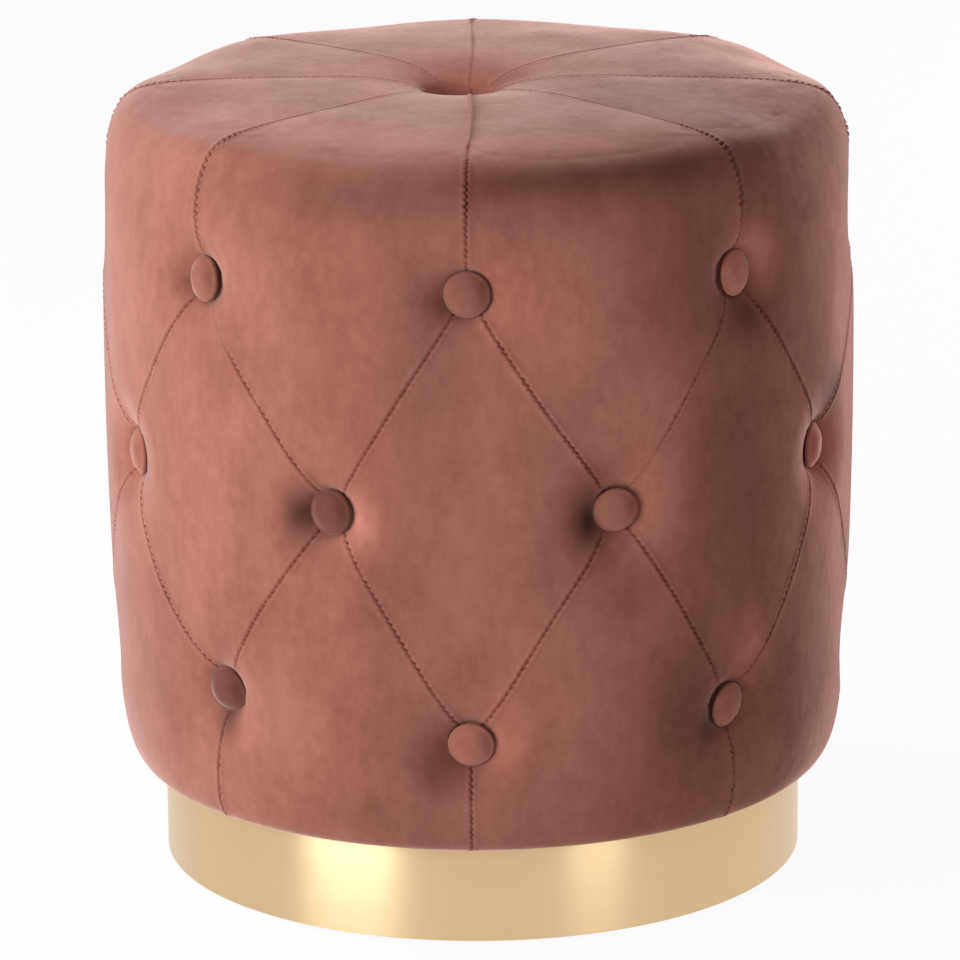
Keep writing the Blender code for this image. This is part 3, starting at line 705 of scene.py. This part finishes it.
def panel_object(number, kind, name, centre_turn, first, second, sides):
    """A velvet panel laid on the cover, with its seam allowances turned down on the sides before and after."""
    tuck = np.pad(np.zeros(first.shape), sides, mode="edge")
    if sides[0][0]:
        tuck[0], tuck[-1] = ALLOWANCE, ALLOWANCE
    tuck[:, 0], tuck[:, -1] = ALLOWANCE, ALLOWANCE
    first, second = np.pad(first, sides, mode="edge").ravel(), np.pad(second, sides, mode="edge").ravel()
    turn, run = place_in(kind, centre_turn, first, second)
    distance, *stitches = nearest_seam(turn, run)
    relief, shade = seam_relief(turn, run, distance, *stitches)
    nap_with_painted_light = panel_nap_and_painted_light(kind, number, turn, run)
    fill = valley_at(run, tuft_pull(turn, run)) * filled_share(number, kind, first, second, distance)
    points = laid_points(turn, run, sewn_depth(turn, run) - fill + relief + tuck.ravel())
    mesh = new_mesh(name, points.tolist(), grid_faces(*tuck.shape).tolist())
    note_points(mesh, "seam_shade", shade)
    note_points(mesh, "nap_and_painted_light", nap_with_painted_light)
    mesh.shade_smooth()
    return new_object(name, mesh)


FINE = {"gore": fine_pointed(GORE_RUNS), "diamond": fine_diamond(), "skirt": fine_pointed(SKIRT_RUNS)}
panels = []
for order, (kind, number, centre_turn) in enumerate(PANELS):
    name = "%s_%d" % (kind, number + 1)
    sides = ((1, 1), (1, 1)) if kind == "diamond" else ((0, 0), (1, 1))
    panel = panel_object(order, kind, "velvet_" + name, centre_turn, *FINE[kind], sides)
    panels.append((panel, "cover_" + name))
print("velvet panels:", len(panels), "points:", sum(len(piece.data.vertices) for piece, _ in panels))

# %% [markdown]
# ## Foam under the velvet
# The foam shows nowhere, but it fills the cover: a pad on the deck and a wrap round the drum. One closed form,
# set in from the velvet, stands for both. It stays further back in the crater, where the velvet is steep.

# %% Foam core
FOAM_INSET, FOAM_BACK_IN_CRATER, FOAM_BACK_REACH = 2.6 * MM, 7.0 * MM, 4.5 * MM
FOAM_TURNS = 128
FOAM_IN_CRATER, FOAM_PAST_CRATER = (0.003, 0.040, 38), (0.043, HEM_RUN - 0.002, 104)


def ring_faces(rings, count, closed=False):
    """Faces between rings of count points, and from the last ring back to the first where it is closed."""
    index = np.arange(rings * count).reshape(rings, count)
    after = np.roll(index, -1, 1)
    kept = rings if closed else rings - 1
    faces = np.stack([index, np.roll(index, -1, 0), np.roll(after, -1, 0), after], -1)[:kept]
    return faces.reshape(-1, 4).tolist()


foam_runs = np.concatenate([[0.001], np.linspace(*FOAM_IN_CRATER), np.linspace(*FOAM_PAST_CRATER)])
foam_turns = np.linspace(0.0, 2 * math.pi, FOAM_TURNS, endpoint=False)
turn_grid, run_grid = (grid.ravel() for grid in np.meshgrid(foam_turns, foam_runs))
set_back = FOAM_BACK_IN_CRATER * np.exp(-beyond_crater(turn_grid, run_grid) / FOAM_BACK_REACH)
foam_points = laid_points(turn_grid, run_grid, sewn_depth(turn_grid, run_grid) + FOAM_INSET + set_back)
foam_points[:, 2] = np.maximum(foam_points[:, 2], HEM_HEIGHT + FOAM_INSET)
foam_faces = ring_faces(len(foam_runs), FOAM_TURNS)
last_ring = range(len(foam_points) - FOAM_TURNS, len(foam_points))
foam_faces += [list(range(FOAM_TURNS)), list(reversed(last_ring))]
foam_core = new_object("foam_core", new_mesh("foam_core", foam_points.tolist(), foam_faces))
above_deck = foam_points[:FOAM_TURNS, 2].min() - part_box("top_board")[1].z
print("foam core:", len(foam_faces), "faces, above the deck:", round(above_deck, 4), "m")

# %% [markdown]
# ## Covered buttons
# A covered button is a shallow metal dome with velvet stretched over it and clenched behind. Its edge rolls
# over tightly. The shape is turned, and then each button leans a little its own way, because the twine rarely
# pulls through the very middle. The visible ones lean as the light on their faces shows.

# %% Button shape
BUTTON_RADIUS, BUTTON_HEIGHT, BUTTON_EDGE, BUTTON_DOME = 11.2 * MM, 7.0 * MM, 1.3 * MM, 4.6 * MM
FACE_SHARE, EDGE_START, BACK_SHARE = 0.88, 0.15 * math.pi, 0.35
BUTTON_TURNS = 96


def button_outline():
    """Radius and height of a button, from the middle of its face to the middle of its back."""
    face = np.linspace(0.0, FACE_SHARE, 14)
    face_height = BUTTON_HEIGHT - BUTTON_DOME * face**3.0
    points = list(zip(BUTTON_RADIUS * face, face_height))
    centre, edge_height = BUTTON_RADIUS - BUTTON_EDGE, face_height[-1] - BUTTON_EDGE
    for angle in np.linspace(EDGE_START, math.pi, 14):
        points.append((centre + BUTTON_EDGE * math.sin(angle), edge_height + BUTTON_EDGE * math.cos(angle)))
    return points + [(BACK_SHARE * BUTTON_RADIUS, 0.0), (0.0, 0.0)]


def turned_points(profile, count):
    """Points of a profile turned about Z, ring by ring."""
    angles = np.linspace(0.0, 2 * math.pi, count, endpoint=False)
    return [(r * math.cos(a), r * math.sin(a), h) for r, h in profile for a in angles]


def turned_mesh(name, profile, count):
    """A mesh turned about Z from a profile that starts and ends on the axis."""
    points = turned_points(profile[1:-1], count)
    faces = ring_faces(len(profile) - 2, count)
    top, bottom, last = len(points), len(points) + 1, len(points) - count
    for n in range(count):
        after = (n + 1) % count
        faces += [(top, n, after), (bottom, last + after, last + n)]
    mesh = new_mesh(name, points + [(0.0, 0.0, profile[0][1]), (0.0, 0.0, profile[-1][1])], faces)
    mesh.shade_smooth()
    return mesh


button_mesh = turned_mesh("button", button_outline(), BUTTON_TURNS)
print("button:", len(button_mesh.vertices), "points")

# %% [markdown]
# Each button sits on the floor of its tuft, square to the cover there. Then it leans. Where the photograph shows
# a button, its lean and a shade for its face are listed, partly its nap and partly painted light and painted shade.
# The others get theirs by chance from one fixed seed.

# %% Buttons in their tufts
SEAT_DEPTH, SEAT_LIFT = 12.0 * MM, 0.3 * MM


def seat_of(turn, run):
    """Place of a button: its back on the tuft's floor, square to the cover."""
    turn, run = np.array([turn]), np.array([run])
    outward = Vector(outward_points(turn, run)[0])
    back = Vector(laid_points(turn, run, SEAT_DEPTH)[0]) + SEAT_LIFT * outward
    return Matrix.Translation(back), outward.to_track_quat("Z", "Y").to_matrix().to_4x4()


def button_object(name, nap_with_painted_light):
    """A button of its own, and how light it looks from its nap and painted light."""
    button = new_object(name, button_mesh.copy())
    note_points(button.data, "nap_and_painted_light", np.full(len(button.data.vertices), nap_with_painted_light))
    return button


# Degrees that a button faces to the right and up, seen from in front of it, and how light its face looks, partly
# from its nap and partly painted light and painted shade.
LEANS = {
    ("top", 0): (-2, 0, 0.9),
    ("top", 1): (12, 2, 1.7),
    ("top", 7): (-8, 4, 0.8),
    ("middle", 0): (-8, -8, 1.15),
    ("middle", 1): (10, 0, 1.5),
    ("middle", 6): (-6, 0, 1),
    ("middle", 7): (-8, 3, 0.50),
    ("bottom", 0): (-4, -6, 1.15),
    ("bottom", 1): (10, -6, 1.3),
    ("bottom", 7): (8, -8, 0.48),
}
random = np.random.default_rng(7)
buttons = []
for row, number, turn, run in TUFTS:
    name = "%s_%d" % (row, number + 1)
    by_chance = (*random.uniform(-5.0, 5.0, 2), random.uniform(0.75, 1.3))
    right, up, nap_with_painted_light = LEANS.get((row, number), by_chance)
    seat, square = seat_of(turn, run)
    upright, sideways = Vector((0, 0, 1)), Vector((math.cos(turn), math.sin(turn), 0))
    lean = Matrix.Rotation(math.radians(right), 4, upright) @ Matrix.Rotation(math.radians(-up), 4, sideways)
    button = button_object("covered_button_" + name, nap_with_painted_light)
    button.matrix_world = seat @ lean @ square
    buttons.append((button, "button_" + name))
crater_button = button_object("covered_button_centre", 1.0)
crater_button.location = (-CRATER_DRIFT - CRATER_ASIDE, 0.0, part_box("button_centre")[0].z)
buttons.append((crater_button, "button_centre"))
print("buttons:", len(buttons))

# %% [markdown]
# ## The metal band
# The plinth wears a thin strip of brass-coloured steel, rolled into a ring. Its edges are broken by a fine
# round. The ring is turned from a section with small rounded corners.

# %% Band
BAND_RADIUS, BAND_THICKNESS, BAND_TURNS, BAND_ROUND = 160.6 * MM, 0.8 * MM, 384, 0.25 * MM
band_low, band_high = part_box("base_band")[0].z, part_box("base_band")[1].z


def rounded_section(outer, inner, low, high, rounding, steps=4):
    """Corner-rounded section of a ring, down its outer side first."""
    outer, inner, low, high = outer - rounding, inner + rounding, low + rounding, high - rounding
    points = []
    for quarter, (radius, height) in enumerate(((outer, high), (outer, low), (inner, low), (inner, high))):
        for step in range(steps + 1):
            angle = math.pi / 2 - (quarter + step / steps) * math.pi / 2
            points.append((radius + rounding * math.cos(angle), height + rounding * math.sin(angle)))
    return points


section = rounded_section(BAND_RADIUS, BAND_RADIUS - BAND_THICKNESS, band_low, band_high, BAND_ROUND)
band_faces = ring_faces(len(section), BAND_TURNS, closed=True)
band_mesh = new_mesh("brass_band", turned_points(section, BAND_TURNS), band_faces)
band_mesh.shade_smooth()
band = new_object("brass_band", band_mesh)
print("band:", len(band_faces), "faces, height", round((band_high - band_low) / MM, 1), "mm")

# %% [markdown]
# ## Materials
# Small helpers keep each material readable: one feeds a node's inputs, joining what is a socket and setting what
# is a plain value, one makes a node, and one mixes two colours.

# %% Material helpers
def feed(tree, node, given):
    """Feed a node's inputs, by number or name: a socket is joined, and a plain value is set."""
    for label, value in given.items():
        if isinstance(value, bpy.types.NodeSocket):
            tree.links.new(value, node.inputs[label])
        else:
            node.inputs[label].default_value = value


def add_node(tree, kind, place, *fed, **settings):
    """A node with its inputs fed in order, and its properties set or inputs fed by name."""
    node = tree.nodes.new(kind)
    node.location = place
    given = dict(enumerate(fed))
    for key, value in settings.items():
        if hasattr(node, key):
            setattr(node, key, value)
        else:
            given[key.replace("_", " ")] = value
    feed(tree, node, given)
    return node


def mixed_colour(tree, place, share, first, second, blend="MIX"):
    """The colour that a mix node makes of two colours."""
    fed = {"Factor": share, "A": first, "B": second}
    return add_node(tree, "ShaderNodeMix", place, data_type="RGBA", blend_type=blend, **fed).outputs["Result"]


def new_material(name):
    """A material with a Principled shader, its node tree and the shader."""
    material = bpy.data.materials.new(name)
    material.use_nodes = True
    return material, material.node_tree, material.node_tree.nodes["Principled BSDF"]


# %% [markdown]
# Velvet is a dense pile of short fibres. At a glance, where their sides catch the light, it looks pale, and the
# shader's sheen does that. Face on, it drinks the light. Where the pile is ruffled, small soft patches read
# lighter or darker: a node group gives their shade, the finest pile's height, and a normal tilted a little by
# them. Both velvets use it.

# %% Node groups
FLOAT, VECTOR = "NodeSocketFloat", "NodeSocketVector"


def new_group(name, inputs, outputs):
    """An empty node group with named sockets, what it is given and its end node."""
    group = bpy.data.node_groups.new(name, "ShaderNodeTree")
    for label, kind, value in inputs:
        group.interface.new_socket(name=label, in_out="INPUT", socket_type=kind).default_value = value
    for label, kind in outputs:
        group.interface.new_socket(name=label, in_out="OUTPUT", socket_type=kind)
    return group, group.nodes.new("NodeGroupInput").outputs, group.nodes.new("NodeGroupOutput")


def vector_maths(tree, place, operation, *fed, **settings):
    """The vector that a vector maths node makes."""
    return add_node(tree, "ShaderNodeVectorMath", place, *fed, operation=operation, **settings).outputs["Vector"]


# %% Pile of the velvet
COMBED = (1.0, 1.0, 0.65)
STROKE_SHARE = 0.8
pile_group, given, made = new_group(
    "velvet_pile",
    (("Ruffle", FLOAT, 0.14), ("Patch Scale", FLOAT, 34.0), ("Stroke Scale", FLOAT, 190.0)),
    (("Shade", FLOAT), ("Height", FLOAT), ("Normal", VECTOR)),
)
place = add_node(pile_group, "ShaderNodeTexCoord", (-1700, 0)).outputs["Object"]
combed = add_node(pile_group, "ShaderNodeMapping", (-1450, -200), Vector=place, Scale=COMBED).outputs["Vector"]
patches, strokes, fibres = (
    add_node(pile_group, "ShaderNodeTexNoise", at, Vector=combed, Scale=scale, Detail=detail, Roughness=roughness)
    for at, scale, detail, roughness in (
        ((-1150, 250), given["Patch Scale"], 2.0, 0.5),
        ((-1150, 0), given["Stroke Scale"], 3.0, 0.6),
        ((-1150, -250), 2600.0, 2.0, 0.7),
    )
)
weighed = (strokes.outputs["Fac"], STROKE_SHARE, patches.outputs["Fac"])
both = add_node(pile_group, "ShaderNodeMath", (-700, 250), *weighed, operation="MULTIPLY_ADD").outputs[0]
spread = add_node(pile_group, "ShaderNodeMapRange", (-500, 250), Value=both, From_Min=0.62, From_Max=1.18)

surface = add_node(pile_group, "ShaderNodeNewGeometry", (-850, -500)).outputs["Normal"]
mixed = vector_maths(pile_group, (-850, -150), "ADD", patches.outputs["Color"], strokes.outputs["Color"])
off_centre = vector_maths(pile_group, (-650, -150), "SUBTRACT", mixed, (1.0, 1.0, 1.0))
ruffled = vector_maths(pile_group, (-450, -150), "SCALE", off_centre, Scale=given["Ruffle"])
tilted = vector_maths(pile_group, (-250, -300), "ADD", surface, ruffled)
normal = vector_maths(pile_group, (-50, -300), "NORMALIZE", tilted)
feed(pile_group, made, {"Shade": spread.outputs["Result"], "Height": fibres.outputs["Fac"], "Normal": normal})
print("group:", pile_group.name, "with", len(pile_group.nodes), "nodes")

# %% [markdown]
# The velvet's own cells: its colour swings between two tones with the patches, and is multiplied by the shade that
# each mesh carries, from its nap and from painted shade and painted light. The finest pile is a bump.

# %% Velvet
SHEEN_TINT = (1.0, 0.69, 0.64)
VELVET_DARK, VELVET_LIGHT = (0.252, 0.086, 0.065), (0.358, 0.133, 0.101)
BUMP_STRENGTH, PILE_BUMP = 0.3, 0.3 * MM


def velvet_material(name):
    """Short dense pile: mottled colour times the mesh's painted shade and light, and pale sheen. Gives the material
    and its colour's socket.
    """
    material, tree, shader = new_material(name)
    pile = add_node(tree, "ShaderNodeGroup", (-1100, 0), node_tree=pile_group).outputs
    tone = mixed_colour(tree, (-800, 100), pile["Shade"], (*VELVET_DARK, 1), (*VELVET_LIGHT, 1))
    nap_with_painted_light = add_node(tree, "ShaderNodeAttribute", (-1100, -300), attribute_name="nap_and_painted_light").outputs["Fac"]
    tone_with_painted_light = mixed_colour(tree, (-550, 100), 1.0, tone, nap_with_painted_light, "MULTIPLY")
    bump = add_node(tree, "ShaderNodeBump", (-220, -250), Strength=BUMP_STRENGTH, Distance=PILE_BUMP)
    feed(tree, bump, {"Height": pile["Height"], "Normal": pile["Normal"]})
    feed(tree, shader, {"Base Color": tone_with_painted_light, "Roughness": 0.9, "Specular IOR Level": 0.0})
    feed(tree, shader, {"Sheen Weight": 1.0, "Sheen Roughness": 0.36, "Sheen Tint": (*SHEEN_TINT, 1)})
    feed(tree, shader, {"Normal": bump.outputs["Normal"]})
    return material, tone_with_painted_light


velvet, velvet_colour = velvet_material("dusky_velvet")
button_velvet, _ = velvet_material("dusky_button_velvet")
print("velvets:", velvet.name, button_velvet.name)

# %% [markdown]
# Down in a stitch hardly any light reaches the pile, and the thread is a darker red. The mesh carries how deep
# in a stitch each point lies, and the cover's own velvet reads it.

# %% Darkness inside the seams
SEAM_TONE = (0.56, 0.22, 0.17)
tree = velvet.node_tree
in_seam = add_node(tree, "ShaderNodeAttribute", (-550, -350), attribute_name="seam_shade").outputs["Fac"]
darkened = mixed_colour(tree, (-300, 100), in_seam, velvet_colour, (*SEAM_TONE, 1), "MULTIPLY")
feed(tree, tree.nodes["Principled BSDF"], {"Base Color": darkened})
print("the seams darken the cover's velvet")

# %% [markdown]
# Brushed metal, foam, boards, plywood and moulded plastic all show a fine grain, drawn out along one way on some
# and even on others. One node group makes it, and each material sets how far it is drawn out, its two tones and
# how rough it is.

# %% Grain group
grain_group, given, made = new_group("drawn_grain", (("Stretch", VECTOR, (1.0, 1.0, 1.0)),), (("Grain", FLOAT),))
place = add_node(grain_group, "ShaderNodeTexCoord", (-800, 0)).outputs["Object"]
stretched = vector_maths(grain_group, (-600, 0), "MULTIPLY", place, given["Stretch"])
grain = add_node(
    grain_group, "ShaderNodeTexNoise", (-400, 0), Vector=stretched, Scale=1.0, Detail=4.0, Roughness=0.6
)
feed(grain_group, made, {"Grain": grain.outputs["Fac"]})
print("group:", grain_group.name, "with", len(grain_group.nodes), "nodes")


# %% Grained materials
def grained_material(name, dark, light, stretch, roughness, relief):
    """A two-tone material with grain, rough from the first to the second value, and relief mm deep."""
    material, tree, shader = new_material(name)
    grain = add_node(tree, "ShaderNodeGroup", (-800, 0), node_tree=grain_group, Stretch=stretch).outputs["Grain"]
    tone = mixed_colour(tree, (-400, 150), grain, (*dark, 1), (*light, 1))
    least, most = roughness
    gloss = add_node(tree, "ShaderNodeMapRange", (-400, -100), Value=grain, To_Min=least, To_Max=most)
    bump = add_node(
        tree, "ShaderNodeBump", (-400, -350), Strength=BUMP_STRENGTH, Distance=relief * MM, Height=grain
    )
    feed(tree, shader, {"Base Color": tone, "Roughness": gloss.outputs["Result"], "Normal": bump.outputs["Normal"]})
    return material


GRAINED = {
    "open_foam": ((0.70, 0.60, 0.38), (0.84, 0.77, 0.58), (900, 900, 900), (0.90, 1), 0.5),
    "pressed_board": ((0.30, 0.19, 0.10), (0.52, 0.38, 0.24), (220, 220, 220), (0.65, 0.85), 0.4),
    "plywood": ((0.44, 0.30, 0.17), (0.60, 0.45, 0.29), (30, 30, 500), (0.55, 0.75), 0.3),
    "black_plastic": ((0.012, 0.012, 0.012), (0.03, 0.03, 0.03), (400, 400, 400), (0.40, 0.60), 0.2),
    "brushed_brass": ((0.68, 0.490, 0.275), (0.74, 0.535, 0.305), (6, 6, 900), (0.30, 0.40), 0.05),
}
finishes = {name: grained_material(name, *values) for name, values in GRAINED.items()}
print("grained:", ", ".join(finishes))

# %% [markdown]
# On the band the grain runs round the ring, so each highlight is drawn out upright, across the brush lines. The
# shader's anisotropy does that, with the tangent round the ring.

# %% Brushed brass
brass = finishes["brushed_brass"]
tree, shader = brass.node_tree, brass.node_tree.nodes["Principled BSDF"]
around = add_node(tree, "ShaderNodeTangent", (-400, -600), direction_type="RADIAL", axis="Z").outputs["Tangent"]
feed(tree, shader, {"Metallic": 1.0, "Anisotropic": 0.9, "Anisotropic Rotation": 0.25, "Tangent": around})
print("metal:", brass.name)

# %% [markdown]
# ## Dressing the model
# Every piece names the solids that it stands for, so that the same part shows once. The boards, the drum wall,
# the plinth ring and the glides keep their solids and only get a finish.


def dress(piece, material, slot, *nodes):
    """Give a piece its material, let it ride on the body, and put it in the place of its solids. The slot is not
    used.
    """
    piece.data.materials.append(material)
    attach(piece, "root")
    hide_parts(*nodes)


for piece, node in panels:
    dress(piece, velvet, "velvet", node)
for piece, node in buttons:
    dress(piece, button_velvet, "button_velvet", node)
dress(foam_core, finishes["open_foam"], "foam", "foam_pad", "foam_wrap")
dress(band, brass, "band_metal", "base_band")
FINISH_OF = dict.fromkeys(("top_board", "bottom_board", "plinth_ring"), "pressed_board")
FINISH_OF["drum_wall"] = "plywood"
FINISH_OF.update({"glide_%d" % number: "black_plastic" for number in range(1, 5)})
for node, finish in FINISH_OF.items():
    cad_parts[node].material_slots[0].material = finishes[finish]
print("dressed:", len(panels) + len(buttons) + 2, "pieces and", len(FINISH_OF), "solids")

# %% [markdown]
# ## Light and floor
# A product is shown on a plain pale sweep. Here the floor is a large pale square that keeps a faint shadow. What
# the camera sees straight, or mirrored in the band, is near white, but that white sends no light to the pouf.

# %% Floor
FLOOR_SIZE = 12.0
FLOOR_TONE = (0.85, 0.85, 0.85)
SEEN_WHITE = 0.93
corner = 0.5 * FLOOR_SIZE
corners = [(-corner, -corner, 0), (corner, -corner, 0), (corner, corner, 0), (-corner, corner, 0)]
floor = new_object("floor", new_mesh("floor", corners, [(0, 1, 2, 3)]))


def seen_ray(tree, x, y):
    """1 for what the camera sees straight or mirrored, and 0 for other light."""
    path = add_node(tree, "ShaderNodeLightPath", (x - 250, y)).outputs
    rays = path["Is Camera Ray"], path["Is Glossy Ray"]
    return add_node(tree, "ShaderNodeMath", (x, y), *rays, operation="MAXIMUM").outputs[0]


floor_finish, tree, shader = new_material("white_floor")
feed(tree, shader, {"Base Color": (*FLOOR_TONE, 1), "Roughness": 0.9})
glow = add_node(tree, "ShaderNodeEmission", (-300, 300), Strength=1.0)
seen = add_node(tree, "ShaderNodeMath", (-300, 500), seen_ray(tree, -550, 500), SEEN_WHITE, operation="MULTIPLY")
parts = seen.outputs[0], shader.outputs["BSDF"], glow.outputs["Emission"]
shown = add_node(tree, "ShaderNodeMixShader", (200, 200), *parts).outputs["Shader"]
feed(tree, tree.nodes["Material Output"], {"Surface": shown})
floor.data.materials.append(floor_finish)
print("floor:", FLOOR_SIZE, "m across")

# %% World
WORLD_LIGHT = 0.33
world = bpy.data.worlds.new("studio")
bpy.context.scene.world = world
world.use_nodes = True
tree = world.node_tree
level = add_node(
    tree, "ShaderNodeMapRange", (-400, 200), Value=seen_ray(tree, -550, 200), To_Min=WORLD_LIGHT, To_Max=1.0
)
feed(tree, tree.nodes["Background"], {"Strength": level.outputs["Result"], "Color": (1, 1, 1, 1)})
print("even light from all round:", WORLD_LIGHT)

# %% [markdown]
# Two low soft boxes from the left model the velvet, one from behind on the right rims that side, and one high on
# the left, a little behind, lights the top. A strip on the right is there for the band, which mirrors it as a
# soft bright streak. Only the strip and the front left box show in the band, as its two highlights.

# %% Lamps
AIM = Vector((0.0, 0.0, 0.22))


def soft_box(name, turn, elevation, distance, width, height, power):
    """A rectangular lamp, turned from the front about the pouf and raised by degrees, aimed at its middle."""
    turn, elevation = math.radians(turn), math.radians(elevation)
    level = distance * math.cos(elevation)
    place = AIM + Vector((level * math.sin(turn), -level * math.cos(turn), distance * math.sin(elevation)))
    lamp = new_object(name, bpy.data.lights.new(name, "AREA"))
    lamp.data.shape, lamp.data.size, lamp.data.size_y, lamp.data.energy = "RECTANGLE", width, height, power
    lamp.location = place
    lamp.rotation_euler = (AIM - place).to_track_quat("-Z", "Y").to_euler()
    lamp.visible_camera = False
    return lamp


left_back = soft_box("left_back_box", -80, 8, 1.4, 0.8, 0.8, 5.5)
left_front = soft_box("left_front_box", -44, 10, 1.4, 0.8, 1, 13.2)
right_strip = soft_box("right_strip_box", 41, 8, 2.3, 0.8, 1.1, 7)
right_strip.visible_diffuse = False
right_back = soft_box("right_back_box", 141.0, -1.0, 2.3, 1.1, 0.6, 40.0)
back_top = soft_box("back_top_box", -105.0, 42.0, 1.6, 0.8, 0.8, 13.0)
for lamp in (left_back, right_back, back_top):
    lamp.visible_glossy = False
LEFT_TINT, BACK_TINT = (0.95, 1.0, 1.0), (1.0, 0.87, 0.84)
left_back.data.color = left_front.data.color = LEFT_TINT
right_back.data.color = BACK_TINT
bpy.context.scene.view_settings.view_transform = "Standard"

# %% [markdown]
# ## Last step
# At the end, the view layer is brought up to date.

# %% Update
bpy.context.view_layer.update()
